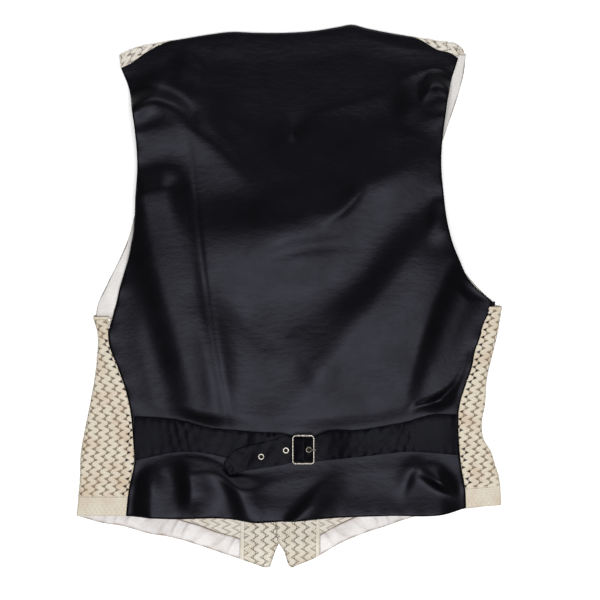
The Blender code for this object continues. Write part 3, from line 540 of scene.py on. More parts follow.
# Materials
def set_inputs(tree, node, values):
    """Sets a node's inputs, or joins those whose value is another node's output."""
    for socket, value in values.items():
        if isinstance(value, bpy.types.NodeSocket):
            tree.links.new(value, node.inputs[socket])
        else:
            node.inputs[socket].default_value = value


def add_node(tree, kind, values):
    node = tree.nodes.new("ShaderNode" + kind)
    set_inputs(tree, node, values)
    return node


def new_material(name, colour, rough, metal=0.0, specular=0.5):
    material = bpy.data.materials.new(name)
    material.use_nodes = True
    tree = material.node_tree
    shader = tree.nodes["Principled BSDF"]
    set_inputs(tree, shader, {
        "Base Color": (*colour, 1), "Roughness": rough, "Metallic": metal, "Specular IOR Level": specular,
    })
    return material, tree, shader


def object_noise(tree, scale, detail, stretch=(1, 1, 1)):
    place = add_node(tree, "TexCoord", {}).outputs["Object"]
    stretched = add_node(tree, "Mapping", {"Vector": place, "Scale": stretch}).outputs["Vector"]
    noise = add_node(tree, "TexNoise", {"Vector": stretched, "Scale": scale, "Detail": detail})
    return noise.outputs["Fac"]


def remap(tree, source, low, high, to_low, to_high):
    node = add_node(tree, "MapRange", {
        "Value": source, "From Min": low, "From Max": high, "To Min": to_low, "To Max": to_high,
    })
    return node.outputs["Result"]


def mix_colours(tree, share, first, second):
    """A mix of two colours, each a fixed colour or another node's output."""
    node = add_node(tree, "Mix", {})
    node.data_type = "RGBA"
    first, second = ((*c, 1) if isinstance(c, tuple) else c for c in (first, second))
    set_inputs(tree, node, {"Factor": share, 6: first, 7: second})
    return node.outputs[2]


def add_bump(tree, shader, height, strength, distance, below=None):
    values = {"Height": height, "Strength": strength, "Distance": distance * MM}
    if below is not None:
        values["Normal"] = below
    normal = add_node(tree, "Bump", values).outputs["Normal"]
    set_inputs(tree, shader, {"Normal": normal})
    return normal


def cloth_waves(tree, scale, turn, distortion):
    """Fine ribs on the cloth's own map, turned about it."""
    place = add_node(tree, "UVMap", {})
    place.uv_map = "cloth"
    turned = add_node(tree, "Mapping", {"Vector": place.outputs["UV"], "Rotation": (0, 0, turn)})
    wave = add_node(tree, "TexWave", {
        "Vector": turned.outputs["Vector"], "Scale": scale, "Distortion": distortion,
    })
    return wave.outputs["Fac"]


def painted(tree, name):
    """The share from 0 to 1 that a mesh carries under this name."""
    node = add_node(tree, "Attribute", {})
    node.attribute_name = name
    return node.outputs["Fac"]


def braid_material(name, light, fleck_and_groove_shade, blotch):
    """Cotton braid: strands with painted shade in their grooves, darker flecks and faint tan blotches, with
    twisted thread.
    """
    material, tree, shader = new_material(name, light, 0.85, specular=0.2)
    cloud = remap(tree, object_noise(tree, BLOTCH_SCALE, 3), 0.42, 0.75, 0.0, 0.8)
    speck = remap(tree, object_noise(tree, FLECK_SCALE, 2), 0.3, 0.7, 0.0, 0.3)
    flecked = mix_colours(tree, speck, mix_colours(tree, cloud, light, blotch), fleck_and_groove_shade)
    # Painted shade: darkens the grooves and edges that the mesh marks
    set_inputs(tree, shader, {"Base Color": mix_colours(tree, painted(tree, "groove_shade"), flecked, fleck_and_groove_shade)})
    add_bump(tree, shader, cloth_waves(tree, TWIST_SCALE, TWIST_ANGLE, 1.5), 0.5, 0.25)
    return material


def satin_material(name, colour, rough, gleam, weave=0.25, shade=None, level=0.5):
    """Satin: an even gloss with a fine weave and slight slubs."""
    material, tree, shader = new_material(name, colour, rough, specular=level)
    cloud = object_noise(tree, GLOSS_SCALE, 3, (1, 1.6, 1))
    threads = object_noise(tree, THREAD_SCALE, 2, (0.5, 1.6, 1))
    slubs = object_noise(tree, SLUB_SCALE, 3, (0.6, 1.2, 1))
    first = add_bump(tree, shader, threads, weave, 0.1)
    add_bump(tree, shader, slubs, 0.5, 0.5, first)
    between = remap(tree, threads, 0.3, 0.7, 0.0, 0.35)
    cloth = mix_colours(tree, between, colour, tuple(c * 0.55 for c in colour))
    # Painted shade in the puckers, where the mesh carries it
    if shade:
        cloth = mix_colours(tree, painted(tree, "shade"), cloth, shade)
    set_inputs(tree, shader, {
        "Base Color": cloth,
        "Roughness": remap(tree, cloud, 0.3, 0.7, rough - 0.03, rough + 0.04),
        "Specular Tint": (*gleam, 1),
    })
    return material


def metal_material(name, colour, worn, rough):
    """Aged plate: bright where it is handled, dull in patches."""
    material, tree, shader = new_material(name, colour, rough, 1.0)
    patch = object_noise(tree, WEAR_SCALE, 4)
    set_inputs(tree, shader, {
        "Base Color": mix_colours(tree, remap(tree, patch, 0.4, 0.7, 0.0, 0.8), colour, worn),
        "Roughness": remap(tree, patch, 0.35, 0.7, rough - 0.08, rough + 0.2),
    })
    add_bump(tree, shader, object_noise(tree, SCRATCH_SCALE, 2), 0.12, 0.08)
    return material


def resin_material(name, colour, dark):
    """Plain resin, slightly clouded."""
    material, tree, shader = new_material(name, colour, 0.3)
    cloud = remap(tree, object_noise(tree, RESIN_SCALE, 3), 0.35, 0.7, 0.0, 1.0)
    set_inputs(tree, shader, {"Base Color": mix_colours(tree, cloud, colour, dark)})
    return material


cream_braid = braid_material("cream_braid", *CREAM)
hem_braid = braid_material("hem_braid", *HEM_CREAM)
inner_braid = braid_material("inner_braid", *INNER_CREAM)
facing_braid = braid_material("facing_braid", *FACING_CREAM)
hole_shade_net = braid_material("hole_shade_net", *HOLE_SHADE)
black_satin = satin_material("black_satin", BLACK, 0.387, COOL_GLEAM, weave=0.6, level=0.14)
belt_satin = satin_material("belt_satin", BELT_BLACK, 0.36, BELT_GLEAM, level=0.036)
white_satin = satin_material("white_satin", WHITE, 0.38, PLAIN_GLEAM, shade=ARM_SHADE)
hem_satin = satin_material("hem_satin", HEM_WHITE, 0.38, PLAIN_GLEAM, shade=HEM_SHADE)
silver_plate = metal_material("silver_plate", *SILVER, 0.36)
eyelet_plate = metal_material("eyelet_plate", *EYELET_SILVER, 0.38)
resin = resin_material("button_resin", *RESIN)


# Lace fronts
def triangle_wave(phase):
    """Zigzag from -1 to 1, highest at whole phases."""
    return np.abs((phase % 1) * 2 - 1) * 2 - 1


def turn_peak(phase):
    near = np.abs((phase + 0.5) % 1 - 0.5)
    return np.clip(1 - near / BLUNT, 0, 1)


def tape_grid(tapes, across, turns, marks):
    """Grid with a strip of faces for each tape, and a row at each of a turn's marks."""
    columns = tapes * (across + 1) - 1
    rows = turns * len(marks)
    mesh, u, v = flat_grid(columns, rows)
    column = np.rint(u * columns).astype(int)
    row = np.rint(v * rows).astype(int)
    tape = column // (across + 1)
    place = (column % (across + 1)) * 2 / across - 1
    phase = row // len(marks) + np.array(marks)[row % len(marks)]
    return mesh, tape, place, phase


def strand_relief(place):
    """Round strands side by side across a domed tape."""
    ribs = 0.5 - 0.5 * np.cos((place + 1) * math.pi * STRANDS)
    return DOME_SHARE * (1 - place ** 2) + (1 - DOME_SHARE) * ribs


def zigzag_x(centre, place, phase, pitch, swing, opening):
    """Across position of a tape's points. Blunt turns leave a hole beside the next tape's inner corner."""
    half = (pitch - TAPE_GAP) / 2
    hole = opening * swing * 4 * BLUNT
    x = centre + swing * triangle_wave(phase) + place * half
    x = x - np.maximum(place, 0) * hole * turn_peak(phase)
    return x + np.maximum(-place, 0) * hole * turn_peak(phase + 0.5)


def keep_inside(mesh, tape, points):
    """Places the points, and drops the faces between tapes and those squeezed flat at an edge."""
    place_points(mesh, points)
    loops = corners_of(mesh).reshape(-1, 4)
    between = tape[loops].max(1) != tape[loops].min(1)
    drop_faces(mesh, between | squeezed_faces(mesh, 0.02))


def build_lace_floor(side):
    """The part of a front that lies on the floor and over the shoulder, up to the side's fold."""
    sign = SIGN[side]
    bottom = -301.0
    top = 312.0
    turns = int((top - bottom) / TURN_PERIOD)
    mesh, tape, place, phase = tape_grid(FLOOR_TAPES, 4, turns, TURN_MARKS)
    t = bottom + phase * TURN_PERIOD
    centre = sign * (tape * TAPE_PITCH + FLOOR_FIRST)
    opening = step(14, 40, t - smooth(FRONT_HEM[side], centre) - BAND_W)
    x = zigzag_x(centre, place, phase, TAPE_PITCH, TURN_SWING, opening)
    inner = sign * inner_edge_x(side, t)
    over = np.clip((t - fold_y(FOLD_TIP_X[side])) / 20, 0, 1)
    tip = between(FOLD_TIP_X[side], TIP_X[side], over)
    arm = np.where(over > 0, tip, smooth(FRONT_ARM[side], t))
    fold_limit = fold_centre_x(side, t) + sign * QUARTER
    outer = sign * np.where(t < SIDE_FOLD[side][-1][0] + 2, fold_limit, arm)
    x = sign * np.clip(sign * x, inner, outer)
    low = smooth(FRONT_HEM[side], x) + BAND_W - 1.5
    seam_q = smooth(SHOULDER_SEAM[side], x)
    high = fold_y(x) + seam_q - seam_gap(seam_q)
    t = np.clip(t, low, high)
    points, out = on_front(side, x, t)
    relief = strand_relief(place)
    points = points + out * (relief[:, None] * 0.5 - 0.12)
    # Painted shade in the grooves between and beside the strands
    write_value(mesh, "groove_shade", 0.66 - relief)
    write_uv(mesh, x, t)
    keep_inside(mesh, tape, points)
    return mesh


def wrap_low_y(side, flat_x):
    """Bottom edge of the part on top, from the side's fold to the seam."""
    fold = SIDE_FOLD[side][0]
    seam = SIDE_SEAM[side][0]
    return between(fold[0], seam[0], np.clip((flat_x - fold[1]) / (seam[1] - fold[1]), 0, 1))


def build_lace_wrap(side):
    """The part of a front that comes round the side to the seam on the back."""
    sign = SIGN[side]
    bottom = -246.0
    top = 2.0
    turns = int((top - bottom) / TURN_PERIOD)
    mesh, tape, place, phase = tape_grid(WRAP_TAPES, 6, turns, FINE_MARKS)
    y = bottom + phase * TURN_PERIOD
    lean = smooth(WRAP_LEAN[side], y)
    centre = sign * (WRAP_FIRST - tape * TAPE_PITCH) + lean
    x = zigzag_x(centre, place, phase, TAPE_PITCH, TURN_SWING, 1.08)
    seam = sign * (smooth(SIDE_SEAM[side], y) + sign * SEAM)
    outer = sign * fold_centre_x(side, y) + QUARTER
    x = sign * np.clip(sign * x, seam, np.maximum(outer, seam))
    top_y = SIDE_FOLD[side][-1][0] + 0.6
    low = wrap_low_y(side, x) + BAND_W - 1.0
    y = np.clip(y, low, top_y)
    points, out = on_wrap(side, x, y)
    relief = strand_relief(place)
    sink = 0.55 * fade(0, 2.5, sign * x - seam)
    sag = 0.35 * np.sin(x / 13 + y / 21) * np.sin(y / 17 - x / 29)
    points = points + out * (relief * 0.95 - 0.3 - sink + sag)[:, None]
    # Painted shade in the grooves between and beside the strands
    write_value(mesh, "groove_shade", (0.55 - relief) * 0.75)
    write_uv(mesh, x, y)
    keep_inside(mesh, tape, points)
    return mesh


def build_hem_band(side):
    """The close band along the bottom of a front, from its tip round the side to the seam."""
    sign = SIGN[side]
    first = 10.0 if side == "left" else -9.0
    corner = sign * float(fold_centre_x(side, SIDE_FOLD[side][0][0]))
    wrap = corner - sign * SIDE_SEAM[side][0][1] - SEAM
    length = corner - first + HALF_TURN + wrap
    mesh, u, v = flat_grid(330, 26)
    s = first + u * length
    rise = v * BAND_W
    on_floor = s < corner + QUARTER
    flat = sign * np.where(on_floor, s, 2 * corner + HALF_TURN - s)
    low_floor = smooth(FRONT_HEM[side], flat)
    low = np.where(on_floor, low_floor, wrap_low_y(side, flat))
    y = low + rise
    seam_x = smooth(SIDE_SEAM[side], y) + sign * SEAM
    edge_x = inner_edge_x(side, y)
    flat = np.where(on_floor, sign * np.maximum(sign * flat, sign * edge_x), flat)
    end = first + length
    lead = np.where(on_floor, 0, (seam_x - sign * (corner - wrap)) * step(corner + QUARTER, end, s))
    shift = fold_centre_x(side, y) - sign * corner
    near_floor = flat + shift * step(corner - 60, corner, s)
    near_top = flat + shift * fade(corner, end, s) + lead
    flat = np.where(on_floor, near_floor, near_top)
    below, out_below = on_front(side, flat, y)
    above, out_above = on_wrap(side, flat, y)
    points = np.where(on_floor[:, None], below, above)
    out = np.where(on_floor[:, None], out_below, out_above)
    ribs = even_wave(rise, BAND_RIB)
    zig = even_wave(s + BAND_SWING * triangle_wave(rise / BAND_TURN), BAND_PERIOD)
    low_part = fade(13, 15, rise)
    relief = 0.22 * zig * low_part + 0.34 * ribs * (0.45 + 0.55 * (1 - low_part))
    sink = np.where(on_floor, 0, 0.5 * step(end - 2.5, end, s))
    edge = 0.35 * fade(0, 1.6, rise)
    points = points + out * (relief - 0.1 - sink - edge)[:, None]
    # Painted shade in the band's grooves
    write_value(mesh, "groove_shade", (0.42 - relief) * 0.9)
    write_uv(mesh, s, rise)
    place_points(mesh, points)
    drop_faces(mesh, squeezed_faces(mesh, 0.004))
    return mesh


def build_seam_allowance(side):
    """Black strip pressed under the lace along the side seam."""
    sign = SIGN[side]
    mesh, u, v = flat_grid(4, 60)
    y = between(SIDE_SEAM[side][0][0] + 1, SIDE_SEAM[side][-1][0] - 4, v)
    seam = smooth(SIDE_SEAM[side], y)
    room = sign * (fold_centre_x(side, y) - seam)
    x = seam + sign * u * np.minimum(7 + 2.5 * np.sin(y / 17), room * 0.5)
    z = TOP_Z - 0.95 + 0.1 * np.sin(y / 9) * u
    lay_points(mesh, x, y, z)
    return mesh


def build_hole_shade(side):
    """Tan net behind the lace of the wrap, seen through its holes: painted shade, standing in for the shaded
    inside of the lace.
    """
    sign = SIGN[side]
    mesh, u, v = flat_grid(12, 80)
    y = between(SIDE_SEAM[side][0][0] + 3, SIDE_FOLD[side][-1][0] + 0.4, v)
    x = between(smooth(SIDE_SEAM[side], y), fold_centre_x(side, y) + sign * 0.8, u)
    z = TOP_Z - 1.35 + 0.12 * np.sin(y / 7 + x / 5)
    lay_points(mesh, x, y, z)
    return mesh


def build_underarm_edge(side):
    """Turned edge that closes the top of the lace at the underarm."""
    sign = SIGN[side]
    mesh, u, v = flat_grid(30, 8)
    y = SIDE_FOLD[side][-1][0] + 1.4 - v * 3.6
    x = between(smooth(SIDE_SEAM[side], y) - sign * 0.4, fold_centre_x(side, y) + sign * QUARTER, u)
    points, out = on_wrap(side, x, y)
    roll = np.sin(math.pi * np.clip(v, 0, 1)) ** 0.6
    points = points + out * (0.25 + 0.45 * roll + 0.06 * np.sin(x * 2.2))[:, None]
    # Painted shade under the turned edge and where it rolls down
    write_value(mesh, "groove_shade", step(0.7, 1, v) * 0.9 + 0.15 * (1 - roll))
    write_uv(mesh, x, y)
    place_points(mesh, points)
    return mesh


def facing_outer_x(side, y):
    inner = inner_edge_x(side, y)
    width = LAP[side] + FACING_X[side]
    return np.where(y < CUT_TOP_Y, centre_x(y) + SIGN[side] * FACING_X[side], inner + SIGN[side] * width)


def build_facing_braid(side):
    """The part of a front's facing that shows below the back: close braid over the front's own lace."""
    sign = SIGN[side]
    bottom = -302.0
    mesh, tape, place, phase = tape_grid(FACING_TAPES, 6, FACING_TURNS, FINE_MARKS)
    y = bottom + phase * FACING_PERIOD
    outer = sign * facing_outer_x(side, y) - PRESSED_W
    inner = sign * inner_edge_x(side, y)
    centre = sign * (outer - (tape + FACING_FIRST) * FACING_PITCH)
    x = zigzag_x(centre, place, phase, FACING_PITCH, FACING_SWING, 0.8)
    x = sign * np.clip(sign * x, inner, outer)
    low = smooth(FRONT_HEM[side], x) + 0.4
    y = np.maximum(y, low)
    relief = strand_relief(place)
    from_edge = np.minimum(sign * x - inner, y - low)
    z = front_z(side, x, y) + FACING_STEP + relief * 0.85 - 0.25 - 0.5 * fade(0, 1.8, from_edge)
    # Painted shade in the grooves and along the cut edges
    edge_shade = 0.5 * fade(0.3, 2.4, from_edge)
    write_value(mesh, "groove_shade", np.maximum(0.66 - relief, 0) * 1.25 + edge_shade)
    write_uv(mesh, x, y)
    keep_inside(mesh, tape, np.stack((x, y, z), axis=-1))
    return mesh


def build_facing_strip(side):
    """Plain pressed strip along the facing's outer side."""
    sign = SIGN[side]
    mesh, u, v = flat_grid(12, 80)
    t = -299.0 + v * 72
    outer = facing_outer_x(side, t)
    x = outer - sign * (1 - u) * (PRESSED_W + 0.5)
    y = np.maximum(t, smooth(FRONT_HEM[side], x) + 0.4)
    across = sign * (outer - x)
    lines = even_wave(across, STRIP_LINE)
    ticks = even_wave(y, STRIP_TICK)
    z = front_z(side, x, y) + FACING_STEP + 0.1 + 0.12 * lines + 0.12 * ticks - 0.3 * fade(0, 1, across)
    # Painted shade between the pressed lines
    write_value(mesh, "groove_shade", (0.5 - lines) * 0.25)
    lay_points(mesh, x, y, z)
    return mesh


def build_facing_upper(side):
    """The rest of a front's facing, which lies hidden between the front and the back."""
    mesh, u, v = flat_grid(24, 120)
    y = between(-229.0, fold_y(NECK_X[side]) - 20, v)
    x = between(inner_edge_x(side, y), facing_outer_x(side, y), u)
    z = front_z(side, x, y) + FACING_STEP
    write_value(mesh, "groove_shade", np.zeros_like(x))
    lay_points(mesh, x, y, z)
    return mesh


def build_hem_facing(side):
    """White satin facing along the front's hem, its edges slightly puckered."""
    sign = SIGN[side]
    start = float(centre_x(-270) + sign * FACING_X[side] + sign * 0.6)
    end = SIDE_FOLD[side][0][1] - sign * 4.5
    mesh, u, v = flat_grid(200, 18)
    x = between(start, end, u)
    along = np.abs(x - start)
    wave = np.sin(along / 5.3) * 0.5 + np.sin(along / 8.9 + 1.7) * 0.5
    y = smooth(FRONT_HEM[side], x) + 0.6 + v * (HEM_FACING_W - 0.6)
    y = y + 0.5 * wave * step(0.75, 1, v) + 0.35 * np.sin(along / 4.1) * fade(0, 0.2, v)
    gather = np.sin(along / 4.6 + v * 2.5 + 1.4 * np.sin(along / 17))
    pucker = 0.6 * wave * fade(0.0, 0.55, v) + 0.5 * gather * step(0.45, 0.9, v)
    crease = np.maximum(np.sin(along / 2.4 + v * 5.5 + 1.6 * np.sin(along / 11)), 0) ** 2
    pucker = pucker + 0.5 * np.sin(along / 9 + v * 4) + 0.45 * crease * step(0.1, 0.4, v)
    # Painted shade along both edges, in the gathers and in the creases
    shade = 0.55 * fade(0.02, 0.16, v) * (0.55 + 0.45 * np.sin(along / 2.6))
    shade = shade + 0.5 * step(0.86, 1, v)
    shade = shade + 0.14 * (1 - gather) * step(0.35, 0.9, v) - 0.14 * wave + 0.16 * crease
    write_value(mesh, "shade", shade)
    stitch = 0.25 * swell(v - 0.9, 0.03)
    z = FLOOR_Z + FACING_STEP + 0.15 + pucker - stitch - 0.3 * step(0.97, 1, v) - 0.3 * fade(0, 0.04, v)
    lay_points(mesh, x, y, z)
    return mesh


def build_arm_facing(side):
    """White satin facing along the front's armhole."""
    sign = SIGN[side]
    mesh, u, v = flat_grid(16, 250)
    y = between(FRONT_ARM[side][0][0] + 1.0, fold_y(FOLD_TIP_X[side]) - 1.6, v)
    x = smooth(FRONT_ARM[side], y)
    slope = smooth(FRONT_ARM[side], y + 0.5) - smooth(FRONT_ARM[side], y - 0.5)
    length = np.sqrt(1 + slope ** 2)
    reach = 0.3 + u * (ARM_FACING_W - 0.3)
    reach = reach + 0.4 * np.sin(y / 6.3) * (1 - u)
    px = x - sign * reach / length
    py = y + sign * reach * slope / length * step(0, 0.06, v) * fade(0.95, 1, v)
    py = np.minimum(py, fold_y(px) - 1.6)
    pucker = 0.34 * np.sin(y / 5.1 + u * 1.4) * fade(0.1, 0.8, u) + 0.22 * np.sin(y / 13.7 + u * 2.2)
    # Painted shade along the outer edge and at the lower end
    shade = 0.4 * fade(0, 0.08, u) * (0.6 + 0.4 * np.sin(y / 2.8)) + 0.3 * fade(0, 0.03, v)
    write_value(mesh, "shade", shade)
    stitch = 0.22 * swell(reach - 2.6, 0.5)
    z = FLOOR_Z + FACING_STEP + 0.1 + pucker - stitch - 0.3 * fade(0, 0.05, u)
    lay_points(mesh, px, py, z)
    return mesh


# Satin back
def fold_heights(x, y):
    """Sum of the folds, each a rounded ridge or hollow along its own bowed line."""
    total = np.zeros_like(x)
    for fold in FOLDS:
        x0, y0, x1, y1, bow, left_width, right_width, height = fold[1:]
        dx = x1 - x0
        dy = y1 - y0
        length = math.hypot(dx, dy)
        along = ((x - x0) * dx + (y - y0) * dy) / length ** 2
        side = ((x - x0) * dy - (y - y0) * dx) / length - bow * np.sin(math.pi * np.clip(along, 0, 1))
        width = np.where(side > 0, right_width, left_width)
        ends = step(-0.25, 0.35, along) * fade(0.65, 1.25, along)
        total += height * ends * swell(side, width)
    return total


def rest_softly(rise):
    """Lets the cloth down to what lies under it without a crease."""
    above = rise + REST_DEPTH
    return -REST_DEPTH + 0.5 * (above + np.sqrt(above ** 2 + REST_SOFT))


def slack(x, y):
    """Soft, shallow unevenness of cloth that nothing holds."""
    total = np.zeros_like(x)
    for number, (length, angle) in enumerate(SLACK_WAVES):
        turn = math.radians(angle)
        along = x * math.cos(turn) + y * math.sin(turn)
        total += np.sin(along * 2 * math.pi / length + number * SLACK_SHIFT) * length
    return total * SLACK_SHARE


def back_level(x, y):
    """Height of the back's middle where no seam holds it."""
    ridge = fade(0, RIDGE_W, np.abs(x - centre_x(y)))
    held = LAP_RISE * fade(84, 170, y) + BUTTON_RISE * step(-270, -226, y) * fade(40, 130, y)
    from_belt = np.maximum(y - smooth(BELT_TOP, x), smooth(BELT_BOTTOM, x) - y)
    loose = between(BELT_HOLD, 1, step(0, BELT_EASE, from_belt))
    lofted = rest_softly(smooth(LOFT, y) + fold_heights(x, y))
    return BACK_BASE + (held + RIDGE_GAP) * ridge + lofted * loose + slack(x, y)


def edge_puckers(x, y, from_left, from_right, from_hem):
    """Small gathers that the stitching leaves along the armholes, side seams and hem."""
    left = np.exp(-from_left / 6) * ripples(ARM_GATHERS["left"], x, y)
    right = np.exp(-from_right / 6) * ripples(ARM_GATHERS["right"], x, y)
    hem = np.exp(-from_hem / 5) * ripples(HEM_GATHERS, x, y)
    return 0.55 * left + 0.6 * right + 0.24 * hem


def build_back():
    """One sheet of satin from the shoulder seams to the hem."""
    across = 168
    down = 236
    mesh, u, v = flat_grid(across, down)
    v = 1 - v
    top_x = between(TIP_X["left"], TIP_X["right"], u)
    inside = np.minimum(top_x - NECK_X["left"], NECK_X["right"] - top_x)
    q_neck = -4 + 5 * step(0, 30, inside)
    q_start = np.where(top_x <= NECK_X["left"], smooth(SHOULDER_SEAM["left"], top_x), q_neck)
    q_start = np.where(top_x >= NECK_X["right"], smooth(SHOULDER_SEAM["right"], top_x), q_start)
    q_start = q_start + seam_gap(q_start)
    top_share = 0.1
    q = between(q_start, TURN_LENGTH, np.clip(v / top_share, 0, 1) ** 1.5)
    lower = np.clip((v - top_share) / (1 - top_share), 0, 1)

    def side_line(side):
        turned = float(fold_y(TIP_X[side])) + HALF_TURN
        start = turned - TURN_LENGTH
        y = np.where(v <= top_share, turned - q, between(start, SIDE_SEAM[side][0][0], lower))
        seam_top = SIDE_SEAM[side][-1][0]
        x = np.where(y >= seam_top, smooth(BACK_ARM[side], y), smooth(SIDE_SEAM[side], y))
        return x - SIGN[side] * SEAM * step(seam_top + 4, seam_top - 2, y)

    left_x = side_line("left")
    right_x = side_line("right")
    x = left_x * (1 - u) + right_x * u
    start = fold_y(x) + HALF_TURN - TURN_LENGTH
    hem = smooth(BACK_HEM, x)
    on_fold = v <= top_share
    turn = np.clip(q / FOLD_R, 0, math.pi)
    fold_line = fold_y(x) + FOLD_R * np.sin(turn) + np.minimum(q, 0) - np.maximum(q - HALF_TURN, 0)
    y = np.where(on_fold, fold_line, between(start, hem, lower))
    path = np.where(on_fold, q, HALF_TURN + fold_y(x) - y)
    held_top = fade(HALF_TURN + TOP_HOLD[0], HALF_TURN + TOP_HOLD[1], path)
    gap_left = x - left_x
    gap_right = right_x - x
    held_left = fade(*SEAM_HOLD, gap_left) * fade(*UNDERARM_Y["left"], y)
    held_right = fade(*SEAM_HOLD, gap_right) * fade(*UNDERARM_Y["right"], y)
    held = np.maximum(held_top, np.maximum(held_left, held_right))
    z = between(back_level(x, y), TOP_Z, held)
    from_hem = np.maximum(y - hem, 0)
    fine = edge_puckers(x, y, gap_left, gap_right, from_hem)
    z = z + fine * step(HALF_TURN, HALF_TURN + 6, path)
    fold_z = FLOOR_Z + FOLD_R * (1 - np.cos(turn))
    z = np.where(path < HALF_TURN, fold_z, z)
    rim = np.minimum(np.minimum(gap_left, gap_right), from_hem)
    z = z - 0.2 * fade(0, 1.3, rim) * step(0, HALF_TURN, path)
    lay_points(mesh, x, y, z)
    return mesh


def joined_copy(obj):
    """A CAD node's mesh with its split corners joined."""
    bm = bmesh.new()
    bm.from_mesh(obj.data)
    bmesh.ops.remove_doubles(bm, verts=bm.verts[:], dist=0.00001)
    return bm


def belt_creases(x, y):
    """Crumples of the half belt: strong at its tacked ends, weaker along the straps, with sunk stitching."""
    strap = step(-112, -92, x) * fade(112, 134, x)
    right_strap = step(44, 56, x) * fade(118, 134, x)
    off_buckle = 1 - step(-62, -48, x) * fade(38, 50, x)
    tack = 0.34 * swell(x + 116, 17) * ripples(TACK_GATHERS["left"], x, y)
    tack = tack + 0.32 * swell(x - 128, 15) * ripples(TACK_GATHERS["right"], x, y)
    slant = 0.44 * right_strap * np.sin(x / 2.6 - y / 2.2 + 1.3 * np.sin(x / 13))
    crumple = 0.13 * strap * ripples(STRAP_CRUMPLES, x, y)
    near_edge = swell(smooth(BELT_TOP, x) - y, 4) + swell(y - smooth(BELT_BOTTOM, x), 4)
    edge = 0.26 * near_edge * off_buckle * ripples(STRAP_GATHERS, x, y)
    long_fold = 0.55 * swell(x + 104 + (y + 155) * 1.05, 2.6) * fade(-94, -80, x)
    sunk = 0.0
    for line in STRAP_STITCHES:
        sunk = sunk + 0.32 * swell(x - line, 0.6) * (0.8 + 0.2 * np.sin(y * 2.4))
    return tack + slant + crumple + edge + long_fold - sunk


def strap_knots(bm):
    """Height of the strap at each row of its solid away from the buckle: x, height."""
    rows = {}
    for vertex in bm.verts:
        x, y, z = vertex.co / MM
        if x < -38 or x > 40:
            rows.setdefault(round(x), []).append((x, z))
    full = sorted(x for x in rows if len(rows[x]) >= 4)
    return tuple(tuple(np.mean(rows[x], axis=0)) for x in full)


def even_run(knots, x):
    """Lift that turns the straight runs between a strap's rows into one smooth curve."""
    left = fade(-60, -44, x) if knots[0][0] < -80 else 0
    return (smooth(knots, x) - straight(knots, x)) * (left + step(42, 50, x))


def build_belt(node, name):
    """A strap on the solid's own form, with softened edges, stitching and creases."""
    bm = joined_copy(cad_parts[node])
    knots = strap_knots(bm)
    flat_enough = math.radians(30)
    square_enough = math.radians(60)
    bmesh.ops.join_triangles(
        bm, faces=bm.faces[:], angle_face_threshold=flat_enough, angle_shape_threshold=square_enough,
    )
    bmesh.ops.subdivide_edges(bm, edges=bm.edges[:], cuts=5, use_grid_fill=True)
    sharp = [e for e in bm.edges if len(e.link_faces) == 2 and e.calc_face_angle(0) > math.radians(50)]
    bmesh.ops.bevel(
        bm, geom=sharp, offset=0.32 * MM, segments=2, profile=0.5, affect="EDGES", material=-1,
        clamp_overlap=True,
    )
    bmesh.ops.recalc_face_normals(bm, faces=bm.faces[:])
    mesh = new_mesh(name, bm)
    points = coordinates(mesh) / MM
    points[:, 2] += even_run(knots, points[:, 0])
    points[:, 2] += belt_creases(points[:, 0], points[:, 1])
    place_points(mesh, points)
    write_uv(mesh, points[:, 0], points[:, 1])
    return mesh


def tube_mesh(name, path, radius, closed):
    """Round wire along a path, as a mesh."""
    curve = bpy.data.curves.new(name, "CURVE")
    curve.dimensions = "3D"
    curve.bevel_depth = radius * MM
    curve.bevel_resolution = 5
    curve.use_fill_caps = True
    line = curve.splines.new("POLY")
    line.points.add(len(path) - 1)
    for point, place in zip(line.points, path):
        point.co = (place[0] * MM, place[1] * MM, place[2] * MM, 1)
    line.use_cyclic_u = closed
    holder = bpy.data.objects.new(name, curve)
    mesh = bpy.data.meshes.new_from_object(holder)
    bpy.data.objects.remove(holder)
    return mesh


def build_buckle():
    """Rounded wire frame with its centre bar bent down behind the strap."""
    heights = [v.co.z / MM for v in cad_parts["buckle_frame"].data.vertices]
    frame_z = max(heights) - WIRE_R
    bar_z = min(heights) + BAR_SINK
    half_w = BUCKLE_W / 2 - WIRE_R
    half_h = BUCKLE_H / 2 - WIRE_R
    corner = BUCKLE_CORNER - WIRE_R
    path = []
    for across, up, start in ((1, 1, 0), (-1, 1, 90), (-1, -1, 180), (1, -1, 270)):
        for turn in np.radians(np.linspace(start, start + 90, 10)):
            x = BUCKLE_X + across * (half_w - corner) + corner * math.cos(turn)
            y = BUCKLE_Y + up * (half_h - corner) + corner * math.sin(turn)
            path.append((x, y, frame_z))
    bend = ((half_h, frame_z), (half_h - 0.4, bar_z + 0.8), (half_h - 1.4, bar_z))
    bar = [(BUCKLE_X, BUCKLE_Y - up, z) for up, z in bend]
    bar += [(BUCKLE_X, BUCKLE_Y + up, z) for up, z in reversed(bend)]
    bm = bmesh.new()
    bm.from_mesh(tube_mesh("frame_wire", path, WIRE_R, True))
    bm.from_mesh(tube_mesh("bar_wire", bar, BAR_R, False))
    return new_mesh("buckle", bm)


def rounded_copy(node, name, material):
    """A small metal part on its solid's form, rounded."""
    mesh = new_mesh(name, joined_copy(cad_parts[node]))
    piece = add_piece(name, mesh, material, 0, [node])
    round_off = piece.modifiers.new("round", "BEVEL")
    round_off.width = 0.2 * MM
    round_off.segments = 3
    round_off.limit_method = "ANGLE"
    round_off.angle_limit = math.radians(35)
    return piece


